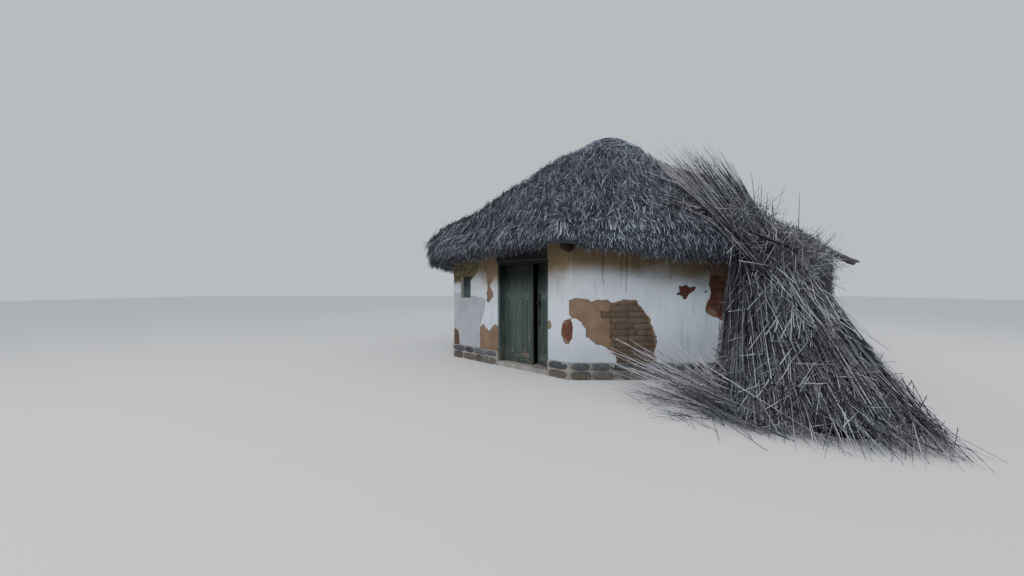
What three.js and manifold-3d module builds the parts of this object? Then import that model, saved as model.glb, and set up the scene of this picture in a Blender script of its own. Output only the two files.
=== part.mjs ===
// Thatched cottage: a small eight-sided adobe hut with a conical reed roof, in millimetres, +Z up.
// The origin is the middle of the floor's underside, level with the ground.
// The front wall faces -Y, and the doorway is in the next wall to its left.
import * as THREE from "three";
import { mergeVertices } from "three/addons/utils/BufferGeometryUtils.js";
import Module from "manifold-3d";

// Driving dimensions
const GAP = 0.3; // clearance between pieces that bear on each other
const SIDES = 8;
const WALL_FACE = 3742; // centre to the middle of a wall's outer face
const WALL_THICK = 450;
const PLINTH_PROUD = 20;
const PLINTH_TOP = 280;
const FLOOR_THICK = 80;

// Doorway, in the door wall's own frame: x along the wall, y towards the inside, z up
const DOORWAY_LEFT = -150;
const DOORWAY_RIGHT = 1110;
const DOORWAY_TOP = 2000;
const THRESHOLD_TOP = 90;
const REVEAL = 150; // depth of the leaves' outer faces behind the wall's outer face
const LEAF_THICK = 40;
const LEAF_SPLIT = 630; // where the two leaves meet
const LEAF_CLEAR = 6; // clearance round a leaf
const LEAVES_APART = 10;
const JAMB_WIDE = 40;
const JAMB_THIN = 24; // width of the jamb beside the leaf, behind its stop
const HEAD_DEEP = 60;
const AJAR = 15; // degrees that the small leaf stands open
const PIN_RADIUS = 8;
const EYE_RADIUS = 14;
const EYE_TALL = 40;
const PIN_OFF = 20; // hinge axis to the leaf's inner face
const STRAP_THICK = 6;
const STRAP_TALL = 36;
const HINGE_HEIGHTS = [380, 1640];

// Window with its fixed boards, in the same wall
const WINDOW = { left: -1320, right: -980, low: 1295, high: 1745, board: 30 };

// Roof: radii are measured along a hip, from the axis to a corner
const HIP_ANGLE = 360 / SIDES / 2; // 22.5 degrees, from the middle of a wall to its corner
const ROOF_TAN = 0.6745; // rise for each unit of hip radius, about 34 degrees
const EAVE_RADIUS = 4640;
const EAVE_UNDER = 2080; // underside of the thatch, carried out to the eave radius
const RAFTER_RADIUS = 60;
const RAFTER_TAIL = 4230;
const BOSS_RADIUS = 220;
const CROWN_HOLE = 150;
const CAP_RADIUS = 850;
const CAP_THICK = 65;
const COLUMNS = 4; // divisions of the thatch across one slope
const THATCH_TOP = [
  // hip radius and height of the thatch's outer surface
  [CROWN_HOLE, 5262],
  [300, 5235],
  [600, 5095],
  [CAP_RADIUS, 4970],
  [1120, 4830],
  [1550, 4610],
  [1950, 4300],
  [2350, 4000],
  [2800, 3730],
  [3580, 3130],
  [4200, 2840],
  [EAVE_RADIUS, 2510],
];
// Lowest point of the eave at each hip and each middle of a slope, from the door wall's left corner
// (-157.5 degrees) round by the front.
const EAVE_LOW = [1980, 2080, 2180, 1930, 1850, 1940, 1950, 2000, 2000, 2010, 2000, 1990, 2010, 2000, 2000, 1990];
const EAVE_START = -157.5;
const WORN_CORNER = -22.5; // hip where the thatch has slid off the exposed pole
const WORN_DROP = [
  // hip radius and how far the worn thatch is below its sound neighbours
  [2800, 0],
  [3580, 190],
  [4200, 300],
  [EAVE_RADIUS, 230],
];

const SAG = [
  // hip radius and how far the thatch has sunk on the slope that the loose reeds slid from
  [850, 0],
  [1120, 160],
  [1550, 280],
  [1950, 220],
  [2350, 120],
  [2800, 90],
  [3580, 0],
];
const SAG_SPAN = [-106, -72, -28, 10]; // angles where the sag starts, is full, starts to lessen and ends

const wasm = await Module();
wasm.setup();
const radians = THREE.MathUtils.degToRad;
const HIP_COS = Math.cos(radians(HIP_ANGLE));
const HIP_TAN = Math.tan(radians(HIP_ANGLE));
const WALL_INNER = WALL_FACE - WALL_THICK;
const SLOPE_COS = Math.cos(Math.atan(ROOF_TAN / HIP_COS));
const HIP_RISE_COS = Math.cos(Math.atan(ROOF_TAN));
// Vertical drop from the thatch's underside to a rafter's axis, and from that axis to the wall's head
const RAFTER_DROP = (RAFTER_RADIUS + GAP) / SLOPE_COS;
const HEAD_DROP = RAFTER_DROP + (RAFTER_RADIUS + GAP) / HIP_RISE_COS;

const MATERIALS = {
  clay: new THREE.MeshStandardMaterial({ color: 0x8a7460, roughness: 0.95 }),
  plaster: new THREE.MeshStandardMaterial({ color: 0xc9ccd2, roughness: 0.9 }),
  plinth: new THREE.MeshStandardMaterial({ color: 0x807a74, roughness: 0.95 }),
  green_wood: new THREE.MeshStandardMaterial({ color: 0x39453f, roughness: 0.7 }),
  pole: new THREE.MeshStandardMaterial({ color: 0x5b5048, roughness: 0.85 }),
  thatch: new THREE.MeshStandardMaterial({ color: 0x7d7770, roughness: 0.95 }),
  reed: new THREE.MeshStandardMaterial({ color: 0x97887a, roughness: 0.9 }),
  iron: new THREE.MeshStandardMaterial({ color: 0x2e2d2c, roughness: 0.5, metalness: 0.8 }),
};

// Geometry helpers

// Welds a geometry to position and index alone, drops collapsed faces and turns it to face outwards.
function weld(geometry) {
  const bare = new THREE.BufferGeometry();
  bare.setAttribute("position", geometry.getAttribute("position").clone());
  if (geometry.index) bare.setIndex(geometry.index.clone());
  const merged = mergeVertices(bare, 1e-3);
  const kept = [];
  const all = merged.index.array;
  for (let i = 0; i < all.length; i += 3) {
    const [a, b, c] = [all[i], all[i + 1], all[i + 2]];
    if (a !== b && b !== c && c !== a) kept.push(a, b, c);
  }
  if (signedVolume(merged, kept) < 0) kept.reverse();
  merged.setIndex(kept);
  return merged;
}

// Sixth part of the triple products of all faces: positive when they face outwards.
function signedVolume(geometry, indices) {
  const position = geometry.getAttribute("position");
  const corners = [0, 1, 2].map(() => new THREE.Vector3());
  let volume = 0;
  for (let i = 0; i < indices.length; i += 3) {
    corners.forEach((corner, j) => corner.fromBufferAttribute(position, indices[i + j]));
    volume += corners[0].dot(corners[1].clone().cross(corners[2])) / 6;
  }
  return volume;
}

function toSolid(geometry) {
  const welded = weld(geometry);
  return new wasm.Manifold(
    new wasm.Mesh({
      numProp: 3,
      vertProperties: new Float32Array(welded.getAttribute("position").array),
      triVerts: new Uint32Array(welded.index.array),
    }),
  );
}

function toGeometry(solid) {
  const mesh = solid.getMesh();
  const geometry = new THREE.BufferGeometry();
  geometry.setAttribute("position", new THREE.BufferAttribute(mesh.vertProperties, 3));
  geometry.setIndex(new THREE.BufferAttribute(mesh.triVerts, 1));
  return geometry;
}

const join = (...parts) => toGeometry(parts.map(toSolid).reduce((a, b) => a.add(b)));
const cut = (part, ...tools) => toGeometry(tools.map(toSolid).reduce((a, b) => a.subtract(b), toSolid(part)));

// A skin over a row of closed rings with equal numbers of points. Its ends are closed with the
// triangles of the ring's outline, seen in the plane that flat() gives, or the last ring meets the first.
function loft(rings, flat, closed = false) {
  const count = rings[0].length;
  const positions = rings.flat().flatMap((p) => [p.x, p.y, p.z]);
  const index = [];
  const bands = closed ? rings.length : rings.length - 1;
  for (let i = 0; i < bands; i++) {
    const here = i * count;
    const next = ((i + 1) % rings.length) * count;
    for (let j = 0; j < count; j++) {
      const k = (j + 1) % count;
      index.push(here + j, here + k, next + k, here + j, next + k, next + j);
    }
  }
  if (!closed) {
    const last = (rings.length - 1) * count;
    endFaces(rings[0], flat).forEach(([a, b, c]) => index.push(c, b, a));
    endFaces(rings.at(-1), flat).forEach(([a, b, c]) => index.push(a + last, b + last, c + last));
  }
  const geometry = new THREE.BufferGeometry();
  geometry.setAttribute("position", new THREE.Float32BufferAttribute(positions, 3));
  geometry.setIndex(index);
  return weld(geometry);
}

// Triangles of a ring's outline, turning the way the ring runs.
function endFaces(ring, flat) {
  const outline = ring.map((p) => new THREE.Vector2(...flat(p)));
  const faces = THREE.ShapeUtils.triangulateShape(outline, []);
  return THREE.ShapeUtils.area(outline) > 0 ? faces : faces.map(([a, b, c]) => [c, b, a]);
}

const plan = (p) => [p.x, p.y];
const vec = (x, y, z) => new THREE.Vector3(x, y, z);

function box(x0, x1, y0, y1, z0, z1) {
  return new THREE.BoxGeometry(x1 - x0, y1 - y0, z1 - z0).translate((x0 + x1) / 2, (y0 + y1) / 2, (z0 + z1) / 2);
}

// An upright prism over a plan outline.
function prism(outline, low, high) {
  const shape = new THREE.Shape(outline.map(([x, y]) => new THREE.Vector2(x, y)));
  return new THREE.ExtrudeGeometry(shape, { depth: high - low, bevelEnabled: false }).translate(0, 0, low);
}

// A round pole from one point to another, grown all over by a clearance where it cuts its own seat.
function pole(from, to, radiusFrom, radiusTo = radiusFrom, sides = 12, clear = 0) {
  const along = to.clone().sub(from);
  const length = along.length() + 2 * clear;
  const geometry = new THREE.CylinderGeometry(radiusTo + clear, radiusFrom + clear, length, sides);
  const turn = new THREE.Quaternion().setFromUnitVectors(vec(0, 1, 0), along.clone().normalize());
  return geometry.applyQuaternion(turn).translate(...from.clone().lerp(to, 0.5).toArray());
}

function ramp(table, at) {
  if (at <= table[0][0]) return table[0][1];
  for (let i = 1; i < table.length; i++) {
    const [r0, z0] = table[i - 1];
    const [r1, z1] = table[i];
    if (at <= r1) return z0 + ((z1 - z0) * (at - r0)) / (r1 - r0);
  }
  return table.at(-1)[1];
}

const underside = (hipRadius) => EAVE_UNDER + (EAVE_RADIUS - hipRadius) * ROOF_TAN;
const wallHead = (depth) => underside(depth / HIP_COS) - HEAD_DROP;

// The assembly: each wall has a group turned so that its own front is towards -Y
const cottage = new THREE.Group();
const facet = (number) => {
  const group = new THREE.Group();
  group.rotation.z = radians((number * 360) / SIDES);
  cottage.add(group);
  return group;
};
function add(group, name, geometry, material) {
  const mesh = new THREE.Mesh(geometry, MATERIALS[material]);
  mesh.name = name;
  group.add(mesh);
  return mesh;
}

// Walls
const MITRE = GAP / 2 / HIP_COS;
const cornerAt = (depth) => depth * HIP_TAN - MITRE;

// A stretch of wall between two plan positions, mitred where one is left out, with a sloped head.
function wallBlock(left, right, low) {
  const outline = (z) => [
    vec(left ?? -cornerAt(WALL_FACE), -WALL_FACE, z(WALL_FACE)),
    vec(right ?? cornerAt(WALL_FACE), -WALL_FACE, z(WALL_FACE)),
    vec(right ?? cornerAt(WALL_INNER), -WALL_INNER, z(WALL_INNER)),
    vec(left ?? -cornerAt(WALL_INNER), -WALL_INNER, z(WALL_INNER)),
  ];
  return loft([outline(() => low), outline(wallHead)], plan);
}

// A short beam built into the corner between the front wall and the door wall, under the rafter's tail.
const EAVE_BEAM = { angle: -112.5, z: 2150, radius: 78, outer: 4385, inner: 3930 };
const eaveBeam = (clear) => {
  const { angle, z, radius } = EAVE_BEAM;
  const at = (hipRadius) => vec(hipRadius * Math.cos(radians(angle)), hipRadius * Math.sin(radians(angle)), z);
  return pole(at(EAVE_BEAM.outer), at(EAVE_BEAM.inner), radius, radius, 20, clear);
};

const front = facet(0);
add(front, "front_wall", cut(wallBlock(null, null, PLINTH_TOP), eaveBeam(GAP)), "plaster");
add(front, "eave_beam", eaveBeam(0), "pole");
["front_right_wall", "right_wall", "back_right_wall", "back_wall", "back_left_wall", "left_wall"].forEach(
  (name, i) => add(facet(i + 1), name, wallBlock(null, null, PLINTH_TOP), "plaster"),
);

// Door wall, split beside and over the doorway
const doorWall = facet(-1);
const beamByDoor = eaveBeam(GAP).rotateZ(radians(360 / SIDES));
add(doorWall, "wall_right_of_door", cut(wallBlock(DOORWAY_RIGHT, null, PLINTH_TOP), beamByDoor), "plaster");
add(
  doorWall,
  "wall_left_of_door",
  cut(
    wallBlock(null, DOORWAY_LEFT, PLINTH_TOP),
    box(WINDOW.left, WINDOW.right, -WALL_FACE - 50, -WALL_INNER + 50, WINDOW.low, WINDOW.high),
  ),
  "plaster",
);
add(doorWall, "wall_over_door", wallBlock(DOORWAY_LEFT + GAP, DOORWAY_RIGHT - GAP, DOORWAY_TOP), "plaster");

const boardsBack = -WALL_FACE + 90;
add(
  doorWall,
  "window_shutter",
  box(
    WINDOW.left + GAP,
    WINDOW.right - GAP,
    boardsBack - WINDOW.board,
    boardsBack,
    WINDOW.low,
    WINDOW.high - GAP,
  ),
  "green_wood",
);

// Floor, plinth and threshold
const PLINTH_FACE = WALL_FACE + PLINTH_PROUD;
const floorRadius = (WALL_INNER - GAP) / HIP_COS;
add(
  cottage,
  "clay_floor",
  new THREE.CylinderGeometry(floorRadius, floorRadius, FLOOR_THICK, SIDES)
    .rotateX(Math.PI / 2)
    .rotateZ(radians(HIP_ANGLE))
    .translate(0, 0, FLOOR_THICK / 2),
  "clay",
);

// Turns a plan point of a wall's own frame into the cottage's frame.
function turned([x, y], number) {
  const angle = radians((number * 360) / SIDES);
  return [x * Math.cos(angle) - y * Math.sin(angle), x * Math.sin(angle) + y * Math.cos(angle)];
}

// A run of plinth over neighbouring walls, with straight or mitred ends.
function plinthRun(numbers, left, right) {
  const first = numbers[0];
  const last = numbers.at(-1);
  const full = (depth) => depth * HIP_TAN;
  const side = (depth) => [
    turned([left ?? -cornerAt(depth), -depth], first),
    ...numbers.slice(1).map((number) => turned([-full(depth), -depth], number)),
    turned([right ?? cornerAt(depth), -depth], last),
  ];
  return prism([...side(PLINTH_FACE), ...side(WALL_INNER).reverse()], 0, PLINTH_TOP);
}
add(cottage, "front_plinth", plinthRun([-1, 0], DOORWAY_RIGHT, null), "plinth");
add(cottage, "right_plinth", plinthRun([1, 2], null, null), "plinth");
add(cottage, "back_plinth", plinthRun([3, 4], null, null), "plinth");
add(cottage, "left_plinth", plinthRun([5, 6], null, null), "plinth");
add(cottage, "plinth_left_of_door", plinthRun([-1], null, DOORWAY_LEFT), "plinth");
add(
  doorWall,
  "threshold",
  box(DOORWAY_LEFT + GAP, DOORWAY_RIGHT - GAP, -WALL_FACE, -WALL_INNER - GAP, 0, THRESHOLD_TOP),
  "plinth",
);

// Door frame: each jamb is wide in front of its leaf, as a stop, and thin beside it
const LEAF_OUT = -WALL_FACE + REVEAL;
const LEAF_IN = LEAF_OUT + LEAF_THICK;
const FRAME_OUT = -WALL_FACE + 8;
const STOP_END = LEAF_OUT - LEAF_CLEAR;
const HEAD_LOW = DOORWAY_TOP - HEAD_DEEP;
const PIN_Y = LEAF_IN + PIN_OFF;

// side is +1 for the left jamb, whose leaf lies to its right, and -1 for the right one.
function jamb(edge, side) {
  const x = (offset) => edge + side * offset;
  const outline = [
    [x(GAP), FRAME_OUT],
    [x(JAMB_WIDE), FRAME_OUT],
    [x(JAMB_WIDE), STOP_END],
    [x(JAMB_THIN), STOP_END],
    [x(JAMB_THIN), LEAF_IN],
    [x(GAP), LEAF_IN],
  ];
  const post = prism(outline, THRESHOLD_TOP, HEAD_LOW);
  const pinX = x(JAMB_THIN);
  const parts = HINGE_HEIGHTS.flatMap((height) => {
    const reach = [x(GAP * 10), x(JAMB_THIN + 6)].sort((a, b) => a - b);
    const bracket = box(...reach, LEAF_IN - 6, PIN_Y + PIN_RADIUS, height - 22, height);
    const pin = pole(vec(pinX, PIN_Y, height - 10), vec(pinX, PIN_Y, height + EYE_TALL), PIN_RADIUS);
    return [bracket, pin];
  });
  return join(post, ...parts);
}
add(doorWall, "door_jamb_left", jamb(DOORWAY_LEFT, 1), "green_wood");
add(doorWall, "door_jamb_right", jamb(DOORWAY_RIGHT, -1), "green_wood");
add(
  doorWall,
  "door_head",
  join(
    box(DOORWAY_LEFT + GAP, DOORWAY_RIGHT - GAP, FRAME_OUT, STOP_END, HEAD_LOW, DOORWAY_TOP),
    box(DOORWAY_LEFT + GAP, DOORWAY_RIGHT - GAP, STOP_END - 1, LEAF_IN, HEAD_LOW + 15, DOORWAY_TOP),
  ),
  "green_wood",
);

// Door leaves: a frame of stiles and rails round thinner boards, with strap hinges on the inner face
const LEAF_LOW = THRESHOLD_TOP + 12;
const LEAF_HIGH = HEAD_LOW + 15 - LEAF_CLEAR;
const RAILS = [
  [LEAF_LOW, 300],
  [1270, 1440],
  [1800, LEAF_HIGH],
];
const STILE = 80;
const BOARD_BACK = 10; // how far the boards lie behind the rails' outer face
const BOARD_THICK = 24;

// Built from its hinge axis at x = 0, y = 0, running towards +x (side 1) or -x (side -1).
function leaf(width, side) {
  const near = LEAF_CLEAR;
  const outer = -PIN_OFF - LEAF_THICK;
  const span = (a, b, y0, y1, z0, z1) => box(Math.min(side * a, side * b), Math.max(side * a, side * b), y0, y1, z0, z1);
  const parts = [
    span(near + STILE / 2, width - STILE / 2, outer + BOARD_BACK, outer + BOARD_BACK + BOARD_THICK, LEAF_LOW + 10, LEAF_HIGH - 10),
    span(near, near + STILE, outer, -PIN_OFF, LEAF_LOW, LEAF_HIGH),
    span(width - STILE, width, outer, -PIN_OFF, LEAF_LOW, LEAF_HIGH),
    ...RAILS.map(([low, high]) => span(near + STILE / 2, width - STILE / 2, outer, -PIN_OFF, low, high)),
  ];
  for (const height of HINGE_HEIGHTS) {
    const low = height + GAP;
    const high = low + STRAP_TALL;
    parts.push(span(near + 2, width * 0.62, -PIN_OFF - 1, -PIN_OFF + STRAP_THICK, low, high));
    parts.push(span(PIN_RADIUS + 2, near + 14, -PIN_OFF, 6, low, high));
    parts.push(
      new THREE.LatheGeometry(
        [
          [PIN_RADIUS + 0.7, low],
          [EYE_RADIUS, low],
          [EYE_RADIUS, high],
          [PIN_RADIUS + 0.7, high],
          [PIN_RADIUS + 0.7, low],
        ].map(([r, z]) => new THREE.Vector2(r, z)),
        20,
      ).rotateX(Math.PI / 2),
    );
  }
  return join(...parts);
}

function hang(group, name, axisX, angle, geometry, material) {
  const hinge = new THREE.Group();
  hinge.position.set(axisX, PIN_Y, 0);
  hinge.rotation.z = radians(angle);
  group.add(hinge);
  add(hinge, name, geometry, material);
  return hinge;
}
const LEFT_AXIS = DOORWAY_LEFT + JAMB_THIN;
const RIGHT_AXIS = DOORWAY_RIGHT - JAMB_THIN;
hang(doorWall, "left_leaf", LEFT_AXIS, 0, leaf(LEAF_SPLIT - LEAVES_APART / 2 - LEFT_AXIS, 1), "green_wood");
const RIGHT_WIDTH = RIGHT_AXIS - LEAF_SPLIT - LEAVES_APART / 2;
const smallLeaf = hang(doorWall, "right_leaf", RIGHT_AXIS, -AJAR, leaf(RIGHT_WIDTH, -1), "green_wood");

// Lock plate with its knob, on the small leaf's outer face
const PLATE = { fromAxis: 355, wide: 60, low: 1130, high: 1400, thick: 4 };
const KNOB_HEIGHT = 1230;
const plateFace = -PIN_OFF - LEAF_THICK - GAP;
const knobProfile = [
  [0, 0],
  [9, 0],
  [9, 28],
  [18, 34],
  [23, 44],
  [20, 54],
  [10, 60],
  [0, 61],
].map(([r, z]) => new THREE.Vector2(r, z));
add(
  smallLeaf,
  "door_lock",
  join(
    box(-PLATE.fromAxis - PLATE.wide, -PLATE.fromAxis, plateFace - PLATE.thick, plateFace, PLATE.low, PLATE.high),
    new THREE.LatheGeometry(knobProfile, 20)
      .rotateX(Math.PI)
      .translate(-PLATE.fromAxis - PLATE.wide / 2, plateFace - 1, KNOB_HEIGHT),
  ),
  "iron",
);

// Roof poles, one under each hip, meeting at a boss
const polar = (radius, angle, z) => vec(radius * Math.cos(radians(angle)), radius * Math.sin(radians(angle)), z);
const rafterAxis = (radius) => underside(radius) - RAFTER_DROP;
const BOSS_LOW = rafterAxis(BOSS_RADIUS) - 150;
const BOSS_HIGH = rafterAxis(BOSS_RADIUS) + 35;
const boss = (radius) =>
  new THREE.CylinderGeometry(radius, radius, BOSS_HIGH - BOSS_LOW, 24)
    .rotateX(Math.PI / 2)
    .translate(0, 0, (BOSS_LOW + BOSS_HIGH) / 2);
const tallBoss = new THREE.CylinderGeometry(BOSS_RADIUS + GAP, BOSS_RADIUS + GAP, 900, 24)
  .rotateX(Math.PI / 2)
  .translate(0, 0, BOSS_LOW);
[
  "rafter_front_left",
  "rafter_front_right",
  "rafter_right_front",
  "rafter_right_back",
  "rafter_back_right",
  "rafter_back_left",
  "rafter_left_back",
  "rafter_left_front",
].forEach((name, i) => {
  const angle = -90 - HIP_ANGLE + (i * 360) / SIDES;
  const start = polar(BOSS_RADIUS * 0.8, angle, rafterAxis(BOSS_RADIUS * 0.8));
  const end = polar(RAFTER_TAIL, angle, rafterAxis(RAFTER_TAIL));
  add(cottage, name, cut(pole(start, end, RAFTER_RADIUS, RAFTER_RADIUS, 24), tallBoss), "pole");
});
add(cottage, "rafter_boss", boss(BOSS_RADIUS), "pole");

// Thatch: each column of points is a section from the crown hole down over the eave and back inside
const octagon = (angle) => {
  const slope = 360 / SIDES;
  const off = ((((angle + 90 + slope / 2) % slope) + slope) % slope) - slope / 2;
  return HIP_COS / Math.cos(radians(off));
};
const eaveLow = (angle) => {
  const step = 360 / SIDES / 2;
  const place = ((((angle - EAVE_START) / step) % EAVE_LOW.length) + EAVE_LOW.length) % EAVE_LOW.length;
  const before = Math.floor(place);
  return THREE.MathUtils.lerp(EAVE_LOW[before], EAVE_LOW[(before + 1) % EAVE_LOW.length], place - before);
};
const wornShare = (angle) => Math.max(0, 1 - Math.abs(angle - WORN_CORNER) / (360 / SIDES / COLUMNS) / 1.01);

function sagShare(angle) {
  const [start, full, lessens, end] = SAG_SPAN;
  const rise = THREE.MathUtils.clamp((angle - start) / (full - start), 0, 1);
  return Math.min(rise, THREE.MathUtils.clamp((end - angle) / (end - lessens), 0, 1));
}

function thatchSection(angle) {
  const scale = octagon(angle);
  const low = eaveLow(angle);
  const worn = wornShare(angle);
  const at = (radius, z) => polar(radius * scale, angle, z);
  return [
    ...THATCH_TOP.map(([radius, z]) => at(radius, z - worn * ramp(WORN_DROP, radius) - sagShare(angle) * ramp(SAG, radius))),
    at(EAVE_RADIUS - 20, Math.min(low + 160, 2240)),
    at(EAVE_RADIUS - 90, low),
    at(EAVE_RADIUS - 240, low + 60),
    at(EAVE_RADIUS - 340, underside(EAVE_RADIUS - 340)),
    at(CROWN_HOLE, underside(CROWN_HOLE)),
  ];
}

// A quarter of the thatch, over two slopes. Its end faces stand a hair inside the hips.
function thatchQuarter(from) {
  const edge = 0.004;
  const angles = [];
  for (let i = 0; i <= 2 * COLUMNS; i++) angles.push(from + (i * 360) / SIDES / COLUMNS);
  angles[0] += edge;
  angles[2 * COLUMNS] -= edge;
  const middle = radians(from);
  return loft(angles.map(thatchSection), (p) => [p.x * Math.cos(middle) + p.y * Math.sin(middle), p.z]);
}

// Bare poles left at the worn corner, one with a forked tip
const POLE = {
  radius: 80,
  from: polar(3800, WORN_CORNER, 2800),
  to: polar(5100, WORN_CORNER, 2020),
  fork: polar(4760, WORN_CORNER, 2215),
  prong: vec(4960, -1760, 2060),
  prongRadius: 45,
};
const barePole = (clear) =>
  join(
    pole(POLE.from, POLE.to, POLE.radius, POLE.radius * 0.85, 12, clear),
    pole(POLE.fork, POLE.prong, POLE.prongRadius, POLE.prongRadius * 0.7, 12, clear),
  );

// A lath left on the slope, sunk by half in the reeds
const LATH = { radius: 26, from: vec(1850, -3520, 2860), to: vec(4180, -1960, 2560) };
const lath = (clear) => pole(LATH.from, LATH.to, LATH.radius, LATH.radius, 8, clear);

const QUARTERS = [-157.5, -67.5, 22.5, 112.5].map(thatchQuarter);
const [frontThatch, rightThatch, backThatch, leftThatch] = QUARTERS;
add(cottage, "thatch_front", frontThatch, "thatch");
add(cottage, "thatch_right", cut(rightThatch, barePole(GAP), lath(GAP)), "thatch");
add(cottage, "thatch_back", backThatch, "thatch");
add(cottage, "thatch_left", leftThatch, "thatch");
add(cottage, "exposed_pole", barePole(0), "pole");
add(cottage, "thatch_lath", lath(0), "pole");

// Crown: a low cap of reeds over the hole, and the binding round its foot
function capSection(angle) {
  const scale = octagon(angle);
  const rows = THATCH_TOP.filter(([radius]) => radius <= CAP_RADIUS);
  const at = (radius, z) => polar(radius * scale, angle, z);
  return [
    ...rows.map(([radius, z]) => at(radius, z + GAP)),
    ...rows
      .slice()
      .reverse()
      .map(([radius, z], i) => at(radius - (i === 0 ? 25 : 0), z + CAP_THICK)),
    vec(0, 0, THATCH_TOP[0][1] + CAP_THICK + 10),
    vec(0, 0, THATCH_TOP[0][1] + GAP),
  ];
}
const roundAngles = Array.from({ length: SIDES * COLUMNS }, (_, i) => EAVE_START + (i * 360) / SIDES / COLUMNS);
add(cottage, "thatch_cap", loft(roundAngles.map(capSection), plan, true), "thatch");

const BINDING_RADIUS = 18;
const BINDING_AT = CAP_RADIUS + 40;
function bindingSection(angle) {
  const middleZ = ramp(THATCH_TOP, BINDING_AT) + BINDING_RADIUS;
  const scale = octagon(angle);
  return Array.from({ length: 8 }, (_, i) => {
    const turn = radians(i * 45);
    return polar(
      (BINDING_AT + BINDING_RADIUS * Math.cos(turn)) * scale,
      angle,
      middleZ + BINDING_RADIUS * Math.sin(turn),
    );
  });
}
const raisedThatch = QUARTERS.map((quarter) => quarter.clone().translate(0, 0, GAP));
add(cottage, "cap_binding", cut(loft(roundAngles.map(bindingSection), plan, true), ...raisedThatch), "pole");

// Thatch that has slid off the worn corner and hangs from the eave
const SLUMP = [
  // z, inner and outer hip radius
  [800, 4270, 4400],
  [1150, 4180, 4450],
  [1500, 4150, 4500],
  [2010, 4260, 4590],
];
const SLUMP_FROM = -41;
const SLUMP_TO = -19;
function slumpSection(angle, i, count) {
  const shrink = 1 - 0.5 * Math.abs((2 * i) / count - 1);
  const scale = octagon(angle);
  const lowCut = 800 + 350 * Math.abs((2 * i) / count - 0.9);
  const outer = SLUMP.map(([z, , out]) => polar(out * scale, angle, Math.max(z, lowCut)));
  const inner = SLUMP.map(([z, inside, out]) => {
    const middle = (inside + out) / 2;
    return polar((middle - (middle - inside) * shrink) * scale, angle, Math.max(z, lowCut));
  }).reverse();
  return [...outer, ...inner];
}
const slumpSteps = 6;
const slumpSections = [];
for (let i = 0; i <= slumpSteps; i++) {
  slumpSections.push(slumpSection(THREE.MathUtils.lerp(SLUMP_FROM, SLUMP_TO, i / slumpSteps), i, slumpSteps));
}
const slump = loft(slumpSections, (p) => [Math.hypot(p.x, p.y), p.z]);
add(cottage, "slumped_thatch", cut(slump, rightThatch.clone().translate(0, 0, -GAP)), "reed");

// Reed heap: slid down the front slope to the ground, and leaning on the eave at its back
const HEAP = [
  // y, left x, right x, height
  [-6680, 760, 1590, 40],
  [-6400, 380, 1600, 330],
  [-6000, 60, 1610, 640],
  [-5560, -70, 1610, 960],
  [-5150, 60, 1600, 1300],
  [-4700, 330, 1590, 1660],
  [-4225, 560, 1590, 2030],
];
function heapSection([y, left, right, height]) {
  const wide = right - left;
  return [
    vec(left, y, 0),
    vec(right, y, 0),
    vec(right - wide * 0.01, y, height * 0.7),
    vec(right - wide * 0.12, y, height * 0.95),
    vec(right - wide * 0.35, y, height),
    vec(left + wide * 0.35, y, height * 0.97),
    vec(left + wide * 0.12, y, height * 0.8),
    vec(left + wide * 0.03, y, height * 0.45),
  ];
}
const heap = loft(HEAP.map(heapSection), (p) => [p.x, p.z]);
const heapSeat = [frontThatch, rightThatch].map((slope) => slope.clone().translate(0, -GAP, -GAP));
add(cottage, "reed_heap", cut(heap, ...heapSeat), "reed");

// Reed sheaf: long reeds that lean from the heap past the eave, spread at their tips
const SHEAF = [
  // centre x, y, z, half width and half depth
  [1250, -5330, 1090, 190, 60],
  [1210, -4960, 1520, 260, 95],
  [1120, -4660, 2060, 310, 105],
  [920, -4365, 2564, 320, 100],
  [700, -3990, 3250, 340, 70],
  [520, -3560, 3930, 320, 40],
];
const SHEAF_SIDES = 12;
function sheafSection([x, y, z, halfWide, halfDeep]) {
  return Array.from({ length: SHEAF_SIDES }, (_, i) => {
    const turn = (i * 2 * Math.PI) / SHEAF_SIDES;
    const deep = halfDeep * Math.sin(turn);
    return vec(x + halfWide * Math.cos(turn), y - deep * 0.82, z - deep * 0.57);
  });
}
const sheafSeat = [heap, frontThatch, rightThatch].map((piece) => piece.clone().translate(0, -GAP, 2 * GAP));
add(cottage, "reed_sheaf", cut(loft(SHEAF.map(sheafSection), plan), ...sheafSeat), "reed");

export default cottage;
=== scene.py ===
"""Looks of a small eight-sided adobe hut: reed thatch, flaking lime wash, green doors and slid-down reeds.

Every piece is built in metres in the hut's own frame: the middle of the floor at the origin, +Z up, the
front wall towards -Y and the doorway in the next wall towards -X.
"""
import math

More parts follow.
